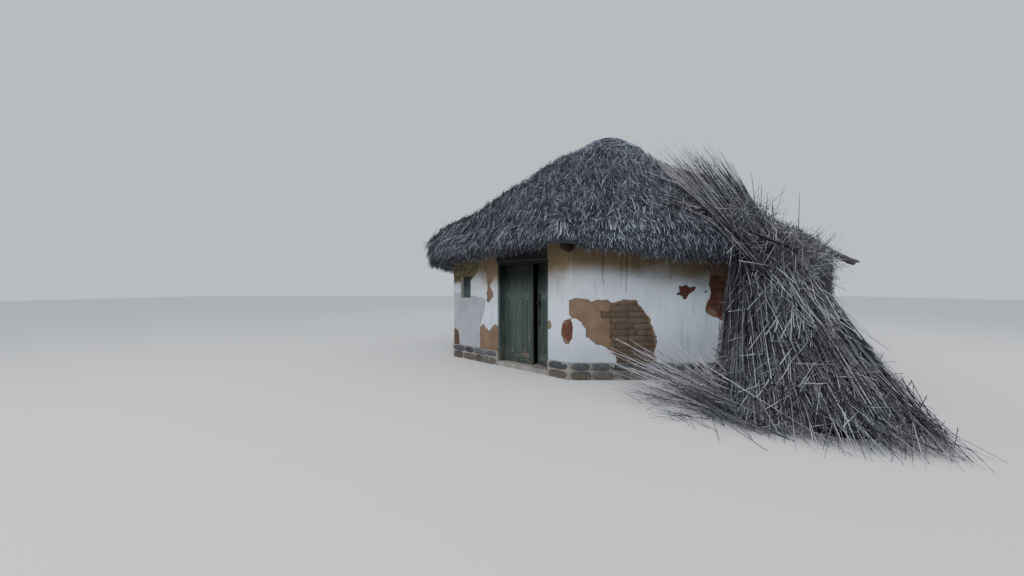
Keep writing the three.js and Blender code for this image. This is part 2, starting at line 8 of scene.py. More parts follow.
import bmesh
import bpy
import numpy as np
from bpy.props import FloatProperty, FloatVectorProperty, IntProperty, PointerProperty
from bpy.types import Operator, Panel, PropertyGroup
from mathutils.bvhtree import BVHTree
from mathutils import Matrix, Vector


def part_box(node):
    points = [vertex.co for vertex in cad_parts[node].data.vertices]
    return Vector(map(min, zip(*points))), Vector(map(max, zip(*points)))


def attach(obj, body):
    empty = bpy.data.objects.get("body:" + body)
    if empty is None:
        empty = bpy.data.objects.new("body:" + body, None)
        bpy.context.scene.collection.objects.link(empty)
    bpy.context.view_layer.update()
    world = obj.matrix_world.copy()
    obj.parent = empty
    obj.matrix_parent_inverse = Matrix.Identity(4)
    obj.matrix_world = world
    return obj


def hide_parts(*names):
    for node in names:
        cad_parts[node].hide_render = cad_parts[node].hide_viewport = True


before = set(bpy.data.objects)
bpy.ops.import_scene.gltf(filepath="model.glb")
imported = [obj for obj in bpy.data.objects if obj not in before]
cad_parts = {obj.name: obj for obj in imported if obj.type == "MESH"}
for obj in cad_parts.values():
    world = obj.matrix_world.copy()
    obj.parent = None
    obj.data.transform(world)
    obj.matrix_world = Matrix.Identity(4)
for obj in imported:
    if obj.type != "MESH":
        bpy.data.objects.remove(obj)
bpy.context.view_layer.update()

bl_info = {
    "name": "Thatched adobe hut",
    "version": (1, 0, 0),
    "blender": (4, 5, 0),
    "location": "3D View > Sidebar > Hut",
    "description": "Builds the visible finish of a thatched adobe hut around its frame",
    "category": "Add Mesh",
}

SIDES = 8
SLOPE = 2 * math.pi / SIDES
HALF_SLOPE = SLOPE / 2
TAU = 2 * math.pi


# Places taken from the frame

def node_points(name):
    """All corner points of a frame node, as an array of rows."""
    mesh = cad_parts[name].data
    points = np.empty(len(mesh.vertices) * 3, np.float32)
    mesh.vertices.foreach_get("co", points)
    return points.reshape(-1, 3).astype(float)


def turned(points, wall):
    """Points of wall number `wall`'s own frame (x along it, y inwards, z up), turned to their place."""
    angle = wall * SLOPE
    c, s = math.cos(angle), math.sin(angle)
    x, y, z = np.moveaxis(np.asarray(points, float), -1, 0)
    return np.stack([x * c - y * s, x * s + y * c, z], -1)


def span_in_wall(name, wall):
    """Lowest and highest corner of a node in a wall's own frame."""
    points = turned(node_points(name), -wall)
    return points.min(0), points.max(0)


FRONT, DOOR_WALL = 0, -1
WALL_FACE = -span_in_wall("front_wall", FRONT)[0][1]
WALL_HALF = span_in_wall("front_wall", FRONT)[1][0]
PLINTH_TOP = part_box("front_wall")[0][2]
PLINTH_FACE = -span_in_wall("front_plinth", FRONT)[0][1]
DOORWAY_LEFT = span_in_wall("wall_over_door", DOOR_WALL)[0][0]
DOORWAY_RIGHT = span_in_wall("wall_over_door", DOOR_WALL)[1][0]
DOORWAY_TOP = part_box("wall_over_door")[0][2]
WINDOW_LOW, WINDOW_HIGH = span_in_wall("window_shutter", DOOR_WALL)
EAVE_RADIUS = float(np.hypot(*node_points("thatch_back")[:, :2].T).max())
CROWN_HOLE = float(np.hypot(*node_points("thatch_back")[:, :2].T).min())


# Numbers in arrays

def smooth(low, high, value):
    """0 below low, 1 above high, and a smooth S between them."""
    t = np.clip((value - low) / (high - low), 0, 1)
    return t * t * (3 - 2 * t)


def ripple(points, size, seed, waves=7):
    """Soft noise from -1 to 1: a sum of sine waves of about one size, in directions drawn from the seed."""
    rng = np.random.default_rng(seed)
    total = np.zeros(points.shape[:-1])
    for _ in range(waves):
        way = rng.normal(size=3)
        way *= TAU / (size * rng.uniform(0.7, 1.6) * np.linalg.norm(way))
        total += np.sin(points @ way + rng.uniform(0, TAU))
    return total / math.sqrt(waves * 2)


def unit(vectors):
    """Vectors brought to length 1."""
    return vectors / np.maximum(np.linalg.norm(vectors, axis=-1, keepdims=True), 1e-9)


def polar(radius, angle, z):
    """Points at a radius and an angle round the hut's middle, at height z."""
    return np.stack([radius * np.cos(angle), radius * np.sin(angle), z + 0 * angle], -1)


def level_ways(angle):
    """Unit vectors at each angle round the hut's middle: straight out, and level across."""
    c, s = np.cos(angle), np.sin(angle)
    return np.stack([c, s, 0 * angle], -1), np.stack([-s, c, 0 * angle], -1)


def swung(a, b, turn):
    """Vectors turned from a towards b, each by its own angle: a * cos + b * sin."""
    return a * np.cos(turn)[:, None] + b * np.sin(turn)[:, None]


def spokes(side, other, around):
    """Spokes round each point of a path, in even turns: side * cos + other * sin."""
    turn = np.arange(around) * TAU / around
    return side[:, None] * np.cos(turn)[None, :, None] + other[:, None] * np.sin(turn)[None, :, None]


def along_line(points, share):
    """A point at each share of a line of points, by length."""
    steps = np.concatenate([[0], np.cumsum(np.linalg.norm(np.diff(points, axis=0), axis=1))])
    place = np.asarray(share) * steps[-1]
    return np.stack([np.interp(place, steps, points[:, i]) for i in range(points.shape[1])], -1)


def octagon(angle):
    """Radius of a regular octagon with corners at radius 1, towards each angle."""
    off = np.mod(angle + math.pi / 2 + HALF_SLOPE, SLOPE) - HALF_SLOPE
    return math.cos(HALF_SLOPE) / np.cos(off)


# Meshes from arrays

def put_mesh(name, points, faces, values=None, uv=None, shade_smooth=True):
    """A mesh object from points, a list of face arrays (each with its own number of corners) and values."""
    mesh = bpy.data.meshes.new(name)
    mesh.vertices.add(len(points))
    mesh.vertices.foreach_set("co", np.ascontiguousarray(points, np.float32).ravel())
    corners = np.concatenate([f.ravel() for f in faces]).astype(np.int32)
    counts = np.concatenate([np.full(len(f), f.shape[1]) for f in faces]).astype(np.int32)
    starts = np.concatenate([[0], np.cumsum(counts)[:-1]]).astype(np.int32)
    mesh.loops.add(len(corners))
    mesh.loops.foreach_set("vertex_index", corners)
    mesh.polygons.add(len(counts))
    mesh.polygons.foreach_set("loop_start", starts)
    mesh.polygons.foreach_set("use_smooth", np.full(len(counts), shade_smooth))
    mesh.update(calc_edges=True)
    for key, value in (values or {}).items():
        layer = mesh.attributes.new(key, "FLOAT", "POINT")
        layer.data.foreach_set("value", np.ascontiguousarray(value, np.float32).ravel())
    if uv is not None:
        layer = mesh.uv_layers.new(name="UVMap")
        layer.data.foreach_set("uv", np.ascontiguousarray(uv[corners], np.float32).ravel())
    piece = bpy.data.objects.new(name, mesh)
    bpy.context.scene.collection.objects.link(piece)
    return piece


class Bundle:
    """Points, faces and values of many closed shapes, gathered into one mesh."""

    def __init__(self, first="tone", second="along"):
        self.names = (first, second)
        self.points = []
        self.faces = {}
        self.values = []
        self.count = 0

    def add(self, points, faces, tone):
        """Adds points, the face arrays between them, and each point's pair of values."""
        self.points.append(points)
        self.values.append(tone)
        for f in faces:
            self.faces.setdefault(f.shape[1], []).append(f + self.count)
        self.count += len(points)

    def mesh(self, name, shade_smooth=True):
        """All that was added, as one piece."""
        faces = [np.concatenate(group) for group in self.faces.values()]
        tones = np.concatenate(self.values)
        values = {self.names[0]: tones[:, 0], self.names[1]: tones[:, 1]}
        return put_mesh(name, np.concatenate(self.points), faces, values, None, shade_smooth)

    def add_rings(self, rings, first, second, place=None):
        """Adds a closed skin over rings, moved to its place, with one pair of values."""
        points, faces = ring_grid(rings)
        points = points if place is None else place(points)
        self.add(points, faces, np.tile([first, second], (len(points), 1)))


def stalks(
    starts, ways, lengths, widths, tones, bends=None, segments=1, taper=0.5, pointed=False, seed=1, bare=0.0
):
    """Reed stalks: a three-cornered ring carried from each start along its way.

    The middle line is start + way * length * t + bend * t squared, with t from 0 to 1, and the half width
    falls from width to width * (1 - taper). A pointed stalk closes in one point, and a blunt one in a face.
    The value along a stalk, which darkens its root with painted shade, runs from bare to 1.
    """
    n = len(starts)
    rng = np.random.default_rng(seed)
    bends = np.zeros((n, 3)) if bends is None else bends
    across = unit(np.cross(ways, unit(rng.normal(size=(n, 3)))))
    other = np.cross(ways, across)
    rings = segments if pointed else segments + 1
    steps = np.linspace(0, 1, segments + 1)
    middles = (
        starts[:, None]
        + ways[:, None] * lengths[:, None, None] * steps[None, :, None]
        + bends[:, None] * (steps[None, :, None] ** 2)
    )
    half = widths[:, None] * (1 - taper * steps[None, :rings]) / 2
    ring_points = middles[:, :rings, None] + spokes(across, other, 3)[:, None] * half[:, :, None, None]
    points = ring_points.reshape(n, rings * 3, 3)
    if pointed:
        points = np.concatenate([points, middles[:, -1:]], 1)
    each = points.shape[1]
    k = np.arange(3)
    following = (k + 1) % 3
    corners = [k, following, 3 + following, 3 + k]
    sides = [np.stack([r * 3 + corner for corner in corners], 1) for r in range(rings - 1)]
    ends = [np.array([[2, 1, 0]])]
    last = (rings - 1) * 3
    if pointed:
        ends.append(np.stack([last + k, last + following, np.full(3, rings * 3)], 1))
    else:
        ends.append(np.array([[last, last + 1, last + 2]]))
    offsets = (np.arange(n) * each)[:, None, None]
    faces = [np.concatenate([(e[None] + offsets).reshape(-1, 3) for e in ends])]
    if sides:
        faces.append((np.concatenate(sides)[None] + offsets).reshape(-1, 4))
    along = bare + (1 - bare) * np.concatenate([np.repeat(steps[:rings], 3), [1.0] if pointed else []])
    tone = np.stack([np.repeat(tones, each), np.tile(along, n)], 1)
    return points.reshape(-1, 3), faces, tone


def loop_quads(count, around):
    """Faces of a skin over rings of points whose last ring joins its first."""
    i, j = np.meshgrid(np.arange(count), np.arange(around), indexing="ij")
    k, n = (j + 1) % around, (i + 1) % count
    return np.stack([i * around + j, i * around + k, n * around + k, n * around + j], -1).reshape(-1, 4)


def ring_grid(rings):
    """A closed skin over rings of points (ring, place round it, xyz), with a face over each end."""
    count, around = rings.shape[:2]
    quads = loop_quads(count, around)[: (count - 1) * around]
    caps = [np.arange(around)[None, ::-1], np.arange(around)[None] + (count - 1) * around]
    return rings.reshape(-1, 3), [quads] + caps


# Node materials

def shade(colour, *gains):
    """A colour times one gain, or times one gain for each of red, green and blue."""
    return tuple(c * gain for c, gain in zip(colour, gains * (3 // len(gains))))


class Shader:
    """A material's nodes, added one by one and joined by name."""

    def __init__(self, name):
        self.material = bpy.data.materials.new(name)
        self.material.use_nodes = True
        self.tree = self.material.node_tree
        self.surface = self.tree.nodes["Principled BSDF"]

    def node(self, kind, inputs=None, **settings):
        """A new node with its settings, its inputs linked or set."""
        made = self.tree.nodes.new("ShaderNode" + kind)
        for key, value in settings.items():
            setattr(made, key, value)
        for key, value in (inputs or {}).items():
            self.feed(made.inputs[key], value)
        return made

    def feed(self, socket, value):
        """Links a socket to another, or sets its value."""
        if isinstance(value, bpy.types.NodeSocket):
            self.tree.links.new(value, socket)
        elif socket.type == "RGBA":
            socket.default_value = (*value, 1)
        else:
            socket.default_value = value

    def place(self, stretch=(1, 1, 1), from_uv=False):
        """Object or UV coordinates, stretched."""
        source = self.node("TexCoord").outputs["UV" if from_uv else "Object"]
        return self.node("Mapping", {"Vector": source, "Scale": stretch}).outputs["Vector"]

    def coordinate(self, axis):
        """One of the object coordinates: X, Y or Z."""
        return self.node("SeparateXYZ", {"Vector": self.place()}).outputs[axis]

    def noise(self, scale, detail=3.0, rough=0.55, where=None, distortion=0.0):
        """Soft noise from 0 to 1."""
        inputs = {"Vector": self.place() if where is None else where, "Scale": scale, "Detail": detail}
        inputs.update({"Roughness": rough, "Distortion": distortion})
        return self.node("TexNoise", inputs).outputs["Fac"]

    def value(self, name):
        """A value that the mesh carries at its points."""
        return self.node("Attribute", attribute_name=name).outputs["Fac"]

    def math(self, operation, a, b=0.5):
        """Blender's own operation on one or two values."""
        return self.node("Math", {0: a, 1: b}, operation=operation).outputs[0]

    def plus(self, a, b):
        """a + b."""
        return self.math("ADD", a, b)

    def minus(self, a, b):
        """a - b."""
        return self.math("SUBTRACT", a, b)

    def times(self, a, b):
        """a * b."""
        return self.math("MULTIPLY", a, b)

    def band(self, value, low, high, to_low=0.0, to_high=1.0):
        """Value brought from low..high to to_low..to_high, smooth and held at both ends."""
        inputs = {"Value": value, "From Min": low, "From Max": high, "To Min": to_low, "To Max": to_high}
        return self.node("MapRange", inputs, interpolation_type="SMOOTHSTEP").outputs["Result"]

    def blend(self, share, a, b, how="MIX", kind="RGBA"):
        """a where share is 0, and b, or a * b, where it is 1."""
        made = self.node("Mix", data_type=kind, blend_type=how)
        self.feed(made.inputs["Factor"], share)
        self.feed(made.inputs["A"], a)
        self.feed(made.inputs["B"], b)
        return made.outputs["Result"]

    def coats(self, base, *layers):
        """A base colour under layers laid over it one after another, each a share and a colour."""
        for share, colour in layers:
            base = self.blend(share, base, colour)
        return base

    def finish(self, colour, roughness, bump=None, strength=0.5, distance=0.01, metallic=0.0):
        """The material, with its colour, roughness and relief."""
        self.feed(self.surface.inputs["Base Color"], colour)
        self.feed(self.surface.inputs["Roughness"], roughness)
        self.surface.inputs["Metallic"].default_value = metallic
        self.surface.inputs["Specular IOR Level"].default_value = 0.25
        if bump is not None:
            made = self.node("Bump", {"Height": bump, "Strength": strength, "Distance": distance})
            self.feed(self.surface.inputs["Normal"], made.outputs["Normal"])
        return self.material


def reed_material(name, dark, pale, tint):
    """Reed stalks: each has its own tone, and painted shade darkens it towards its root.

    Older patches, and the side with the window, take a tint.
    """
    s = Shader(name)
    base = s.blend(s.value("tone"), dark, pale)
    patch = s.math("MAXIMUM", s.band(s.noise(1.3, 4), 0.42, 0.62), s.band(s.coordinate("X"), -0.8, -2.8))
    base = s.blend(patch, base, tint, "MULTIPLY")
    # Painted shade: each stalk darkens towards its root, where it goes in among the others.
    root = s.band(s.value("along"), 0.25, 0.85, 0.28, 1.0)
    base = s.blend(1.0, base, s.node("CombineColor", {0: root, 1: root, 2: root}).outputs[0], "MULTIPLY")
    return s.finish(base, 0.75, s.noise(220, 2, where=s.place((1, 1, 0.15))), 0.25, 0.002)


def wood_material(name, dark, pale, grain=(18, 18, 1.5), roughness=0.8):
    """Weathered wood: streaks along the grain, fine cracks and a pale worn bloom."""
    s = Shader(name)
    streak = s.noise(6, 6, 0.6, s.place(grain), 0.6)
    fine = s.noise(30, 4, 0.7, s.place(grain))
    wear = s.noise(5, 5)
    bloom = s.times(s.band(wear, 0.55, 0.75), 0.35)
    base = s.coats(dark, (s.band(streak, 0.3, 0.7), pale), (bloom, shade(pale, 1.6)))
    height = s.plus(s.times(streak, 0.6), s.times(fine, 0.4))
    return s.finish(base, roughness, height, 0.6, 0.004)


def clay_material(name, dark, pale):
    """Trodden or trowelled clay: soft mottling, straw flecks and fine cracks."""
    s = Shader(name)
    mottle = s.noise(3, 6)
    grit = s.noise(90, 4, 0.7)
    cracks = s.node("TexVoronoi", {"Vector": s.place(), "Scale": 7.0}, feature="DISTANCE_TO_EDGE")
    crack = s.band(cracks.outputs["Distance"], 0.0, 0.025)
    base = s.coats(
        dark,
        (s.band(mottle, 0.3, 0.7), pale),
        (s.band(grit, 0.62, 0.75, 0, 0.4), shade(pale, 1.35)),
        (s.times(s.minus(1.0, crack), 0.5), shade(dark, 0.5)),
    )
    height = s.plus(s.times(grit, 0.5), s.times(crack, 0.5))
    return s.finish(base, 0.95, height, 0.5, 0.006)


def dress(piece, finish, body="root"):
    """Gives a piece its material and the body it rides on."""
    piece.data.materials.clear()
    piece.data.materials.append(finish)
    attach(piece, body)


def repaint(finish, *nodes):
    """Gives frame nodes whose shape stays a finish of their own."""
    for name in nodes:
        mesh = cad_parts[name].data
        mesh.materials.clear()
        mesh.materials.append(finish)


# Thatch

class ThatchSettings(PropertyGroup):
    """Sizes, counts and colours of the roof's reeds."""

    reeds: IntProperty(
        name="Reeds in a quarter", description="Blunt reeds laid on one quarter of the roof",
        default=9500, min=100,
    )
    spikes: IntProperty(name="Filler reeds", description="Pointed reeds between them", default=9000, min=100)
    length: FloatProperty(
        name="Reed length", description="Mean length of reed that shows", default=0.34, unit="LENGTH",
    )
    width: FloatProperty(name="Reed width", description="Mean width of a reed", default=0.0112, unit="LENGTH")
    lift: FloatProperty(
        name="Lift", description="How far reed tips stand off the slope", default=0.24, subtype="ANGLE",
    )
    dark: FloatVectorProperty(
        name="Dark reed", description="Darkest reed colour", default=(0.030, 0.033, 0.042), subtype="COLOR",
    )
    pale: FloatVectorProperty(
        name="Pale reed", description="Palest reed colour", default=(0.57, 0.62, 0.74), subtype="COLOR",
    )
    tint: FloatVectorProperty(
        name="Tint", description="Colour that older patches take on",
        default=(0.82, 0.76, 0.74), subtype="COLOR",
    )


def tree_of(*names):
    """Triangles of some frame nodes, ready for rays."""
    points = np.concatenate([node_points(n) for n in names])
    faces = []
    start = 0
    for name in names:
        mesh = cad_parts[name].data
        faces += [[start + v for v in p.vertices] for p in mesh.polygons]
        start += len(mesh.vertices)
    return BVHTree.FromPolygons(points.tolist(), faces)


TABLE_ANGLES = np.linspace(0, TAU, SIDES * 8 + 1)
TABLE_RADII = np.concatenate([
    np.linspace(CROWN_HOLE + 0.01, EAVE_RADIUS * 0.86, 34),
    np.linspace(EAVE_RADIUS * 0.87, EAVE_RADIUS - 0.012, 22),
])


def measure_roof():
    """Heights of the thatch's outer and under sides in the frame, on a table of angle and hip radius."""
    tree = tree_of("thatch_front", "thatch_right", "thatch_back", "thatch_left")
    outer = np.zeros((len(TABLE_ANGLES), len(TABLE_RADII)))
    under = np.zeros_like(outer)
    nudge = 0.0006
    for i, angle in enumerate(TABLE_ANGLES):
        aim = angle + nudge
        for j, radius in enumerate(TABLE_RADII):
            flat = radius * octagon(aim)
            x, y = flat * math.cos(aim), flat * math.sin(aim)
            down = tree.ray_cast((x, y, 9), (0, 0, -1))[0]
            up = tree.ray_cast((x, y, -1), (0, 0, 1))[0]
            outer[i, j] = down.z if down else np.nan
            under[i, j] = up.z if up else np.nan
    for table in (outer, under):
        for row in table:
            known = ~np.isnan(row)
            row[:] = np.interp(TABLE_RADII, TABLE_RADII[known], row[known])
    return outer, under


ROOF_TOP, ROOF_UNDER = measure_roof()
LIP_TOP, LIP_LOW = EAVE_RADIUS - 0.07, EAVE_RADIUS - 0.09


def roof_height(table, angle, radius):
    """Height from a table at any angle and hip radius, by straight lines between its entries."""
    place = np.mod(angle, TAU) / TAU * (len(TABLE_ANGLES) - 1)
    low = np.minimum(place.astype(int), len(TABLE_ANGLES) - 2)
    share = place - low
    column = np.interp(radius, TABLE_RADII, np.arange(len(TABLE_RADII)))
    left = np.minimum(column.astype(int), len(TABLE_RADII) - 2)
    part = column - left
    near = table[low, left] * (1 - part) + table[low, left + 1] * part
    far = table[low + 1, left] * (1 - part) + table[low + 1, left + 1] * part
    return near * (1 - share) + far * share


# How far the thatch sinks at the cap and on the slope over the heap, and what thickness it keeps.
CAP_SINK, SLIDE_SINK, LEAST_THATCH = 0.13, 0.30, 0.12
# Where the sinking over the heap starts, is full, fades and ends by angle, and starts and is full by radius.
SLIDE_DEGREES, SLIDE_RADII = (-88, -72, -44, -20), (3.2, 4.0)
# Reeds over the eave's edge as a share of the quarter's, drooping reeds round the eave, and reeds on the cap.
FRINGE_SHARE, DROOPING, CAP_REEDS = 0.88, 1300, 3300


def crown_dip(angle, radius):
    """How far the thatch has sunk below the cap's binding on the slopes towards the front."""
    front = np.maximum(0, np.cos(angle + math.radians(104)))
    return CAP_SINK * front**1.5 * np.exp(-(((radius - 0.92) / 0.34) ** 2))


def slide_dip(angle, radius):
    """How far the thatch has sunk near the eave on the slope that the loose reeds slid from.

    It sinks most from the hip over the heap to the slope's middle, less beyond it, and never wears through.
    """
    turn = np.degrees(np.mod(angle + math.pi, TAU) - math.pi)
    across = smooth(*SLIDE_DEGREES[:2], turn) * (1 - smooth(*SLIDE_DEGREES[2:], turn))
    depth = roof_height(ROOF_TOP, angle, radius) - roof_height(ROOF_UNDER, angle, radius)
    return np.minimum(SLIDE_SINK * across * smooth(*SLIDE_RADII, radius), np.maximum(depth - LEAST_THATCH, 0))


TIP_ANGLE = math.radians(202.5)


def by_tip(angle, sharpness):
    """How near an angle is to the hip over the window's corner: exp(-sharpness * (1 - cos(angle - hip)))."""
    return np.exp(-sharpness * (1 - np.cos(angle - TIP_ANGLE)))


def roof_point(angle, radius, inward=0.0):
    """A point on the thatch's outer side: the octagon's plan at a hip radius, and a height from the frame."""
    point = polar(radius * octagon(angle), angle, roof_height(ROOF_TOP, angle, radius))
    lumps = 0.014 * ripple(point, 0.8, 11) + 0.004 * ripple(point, 0.3, 12)
    point[..., 2] += lumps - inward - crown_dip(angle, radius) - slide_dip(angle, radius)
    return point


def roof_axes(angle, radius):
    """Unit vectors at a roof point: down the slope, across it, and out of it, from small steps."""
    step = 0.03
    here = roof_point(angle, radius)
    lower = roof_point(angle, np.minimum(radius + step, EAVE_RADIUS - 0.02))
    upper = roof_point(angle, radius - step)
    beside = roof_point(angle + 0.01, radius) - roof_point(angle - 0.01, radius)
    down = unit(lower - upper)
    out = unit(np.cross(down, unit(beside)))
    out = np.where(out[..., 2:3] < 0, -out, out)
    return here, down, np.cross(out, down), out


def thatch_shell(start, stop, steps=44):
    """The body of a quarter of thatch: sections from the crown over the eave's lip and back inside."""
    angles = np.linspace(start, stop, steps)[:, None]
    top = np.linspace(CROWN_HOLE + 0.01, LIP_TOP, 40)[None]
    low = np.linspace(LIP_LOW, CROWN_HOLE + 0.01, 30)[None]
    outer = roof_point(angles + 0 * top, top + 0 * angles, inward=0.03)
    under = roof_height(ROOF_UNDER, angles + 0 * low, low + 0 * angles)
    inner = polar(low * octagon(angles), angles, under + 0.004)
    drops = np.linspace(0, 1, 7)[None, 1:-1]
    lip = lip_point(angles + 0 * drops, drops + 0 * angles)
    return ring_grid(np.concatenate([outer, lip, inner], 1))


def thatch_quarter(name, node, start, share, settings, seed):
    """One quarter of the roof: its body, and a share of the reeds, laid down the slope and round the eave."""
    rng = np.random.default_rng(seed)
    stop = start + 2 * SLOPE
    bundle = Bundle()
    points, faces = thatch_shell(start, stop)
    # The body's low tone and value along darken it: painted shade deep among the reeds, seen in the gaps
    # between them.
    bundle.add(points, faces, np.tile([0.12, 0.42], (len(points), 1)))
    for reeds, pointed, shift in ((settings.reeds, False, 0), (settings.spikes, True, 50)):
        count = int(reeds * share)
        angle = rng.uniform(start, stop, count)
        radius = np.sqrt(rng.uniform(0.85**2, (EAVE_RADIUS - 0.03) ** 2, count))
        here, down, across, out = roof_axes(angle, radius)
        sway = 0.16 * ripple(here, 0.5, 21) + rng.normal(0, 0.36, count)
        rise = settings.lift * rng.uniform(0.35, 1.5, count) + 0.05 * ripple(here, 0.25, 22)
        if pointed:
            rise = -rng.uniform(0.10, 0.55, count)
        way = unit(swung(down, across, sway) + out * rise[:, None])
        length = settings.length * rng.uniform(0.6, 1.35, count)
        if pointed:
            length = length * 0.62
        deep = length * rise * (0.9 if pointed else 0.55) + 0.012
        start_at = here - out * deep[:, None] - down * (length * 0.5)[:, None]
        width = settings.width * rng.uniform(0.6, 1.3, count) * (1.12 if pointed else 1.0)
        tone = np.clip(rng.beta(0.45, 1.35 if pointed else 1.25, count) + 0.10 * ripple(here, 0.4, 23), 0, 1)
        # Painted shade: reeds near the hip over the window's corner darken, as that slope lies in shade.
        tone = tone * (1 - 0.6 * by_tip(angle, 300) * smooth(2.3, 3.3, radius))
        tone = tone + 0.13 * (1 - smooth(1.1, 2.0, radius))
        bare = 0.45 if pointed else 0.0
        bundle.add(*stalks(start_at, way, length, width, tone, None, 1, 0.35, pointed, seed + shift, bare))
    eave_fringe(bundle, start, stop, share, settings, rng, seed)
    drooping_reeds(bundle, start, stop, share, settings, rng, seed)
    piece = bundle.mesh(name, shade_smooth=False)
    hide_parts(node)
    return piece


def lip_point(angle, drop):
    """A point on the eave's face: drop 0 at its upper edge, 1 at its lower one, swollen out between them."""
    upper = roof_point(angle, LIP_TOP + 0 * angle, inward=0.03)
    under = roof_height(ROOF_UNDER, angle, LIP_LOW + 0 * angle)
    lower = polar(LIP_LOW * octagon(angle), angle, under + 0.004)
    point = upper * (1 - drop[..., None]) + lower * drop[..., None]
    point[..., :2] *= 1 + 0.05 * np.sin(drop * math.pi)[..., None] / EAVE_RADIUS
    return point


def eave_fringe(bundle, start, stop, share, settings, rng, seed):
    """Reeds over the eave's edge: their way turns from the slope's fall to straight down the eave's face.

    Place q runs from -1, half a metre up the slope, past 0 at the edge, to 1 at the face's foot. Those over
    the beam's end stop above it.
    """
    count = int(settings.reeds * FRINGE_SHARE * share)
    angle = rng.uniform(start, stop, count)
    q = np.where(rng.uniform(0, 1, count) < 0.28, rng.uniform(-1.0, 0.0, count), rng.uniform(0.0, 1.0, count))
    beam_low, beam_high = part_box("eave_beam")
    up_slope = LIP_TOP + 0.50 * np.minimum(q, 0)
    slope_spot, fall, _, out = roof_axes(angle, up_slope)
    spot = np.where(q[:, None] < 0, slope_spot, lip_point(angle, np.maximum(q, 0)))
    outward, sideways = level_ways(angle)
    turn = smooth(-0.9, 0.6, q)[:, None]
    flare = rng.uniform(0.10, 0.60, count) + 0.55 * by_tip(angle, 34)
    along_face = unit(outward * flare[:, None] - np.array([0, 0, 1.0]))
    lift = rng.uniform(0.05, 0.34, count)[:, None]
    sway = rng.normal(0, 0.33, count) + 0.14 * ripple(spot, 0.4, 31)
    way = unit((fall + out * lift) * (1 - turn) + along_face * turn + sideways * sway[:, None])
    length = rng.uniform(0.12, 0.30, count)
    begin = spot - way * (length * 0.52)[:, None] - unit(outward + out) * 0.012
    by_beam = (spot[:, 0] > beam_low[0] - 0.18) & (spot[:, 0] < beam_high[0] - 0.05)
    by_beam &= (spot[:, 1] < 0) & (q > 0)
    room = (begin[:, 2] - beam_high[2] - rng.uniform(-0.02, 0.03, count)) / np.maximum(-way[:, 2], 0.05)
    length = np.where(by_beam, np.minimum(length, np.maximum(room, 0.02)), length)
    width = settings.width * rng.uniform(0.6, 1.3, count)
    # Painted shade: tones fall towards the foot of the eave's face, which the eave's overhang shades, and
    # near the hip over the window's corner.
    tone = np.clip(rng.beta(0.60, 1.30, count) * (1.05 - 0.80 * smooth(0.30, 0.95, q)), 0, 1)
    tone *= 1 - 0.6 * by_tip(angle, 300) * (q < 0.3)
    bundle.add(*stalks(begin, way, length, width, tone, taper=0.4, seed=seed + 90))


def drooping_reeds(bundle, start, stop, share, settings, rng, seed):
    """Reeds that start on the slope just above the eave and bend down over its edge."""
    count = int(DROOPING * share)
    angle = rng.uniform(start, stop, count)
    here, fall, across, out = roof_axes(angle, LIP_TOP - rng.uniform(0.02, 0.26, count))
    sway = rng.normal(0, 0.28, count)[:, None]
    way = unit(fall + across * sway + out * rng.uniform(0.05, 0.22, count)[:, None])
    length = rng.uniform(0.20, 0.36, count)
    bend = np.stack([0 * angle, 0 * angle, -rng.uniform(0.03, 0.13, count)], -1)
    width = settings.width * rng.uniform(0.6, 1.2, count)
    begin = here - out * 0.015
    tone = rng.beta(0.60, 1.30, count)
    bundle.add(*stalks(begin, way, length, width, tone, bend, 2, 0.4, seed=seed + 95))


# Each quarter's side, the angle it starts at, and its share of the reeds.
QUARTERS = ("front", -157.5, 0.95), ("right", -67.5, 0.80), ("back", 22.5, 0.46), ("left", 112.5, 0.64)


class HUT_OT_thatch(Operator):
    """Lay the thatch: four quarters of the roof with their reeds."""

    bl_idname = "hut.thatch"
    bl_label = "Thatch"

    def execute(self, context):
        settings = context.scene.hut_thatch
        finish = reed_material("Thatch reed", settings.dark, settings.pale, settings.tint)
        for seed, (side, start, share) in enumerate(QUARTERS):
            node = "thatch_" + side
            name = "thatch_reeds_" + side
            piece = thatch_quarter(name, node, math.radians(start), share, settings, 100 + seed)
            dress(piece, finish)
        return {"FINISHED"}


CAP_RADIUS = float(np.hypot(*node_points("thatch_cap")[:, :2].T).max())
# Hip radii of the cap, and its heights there.
CAP_PROFILE = [0.0, 0.20, 0.40, 0.60, 0.85], [5.335, 5.325, 5.290, 5.190, 5.035]


def cap_height(radius):
    """Height of the cap's upper side at a hip radius: the thatch's rise to the crown, and its thickness."""
    return np.interp(radius, *CAP_PROFILE)


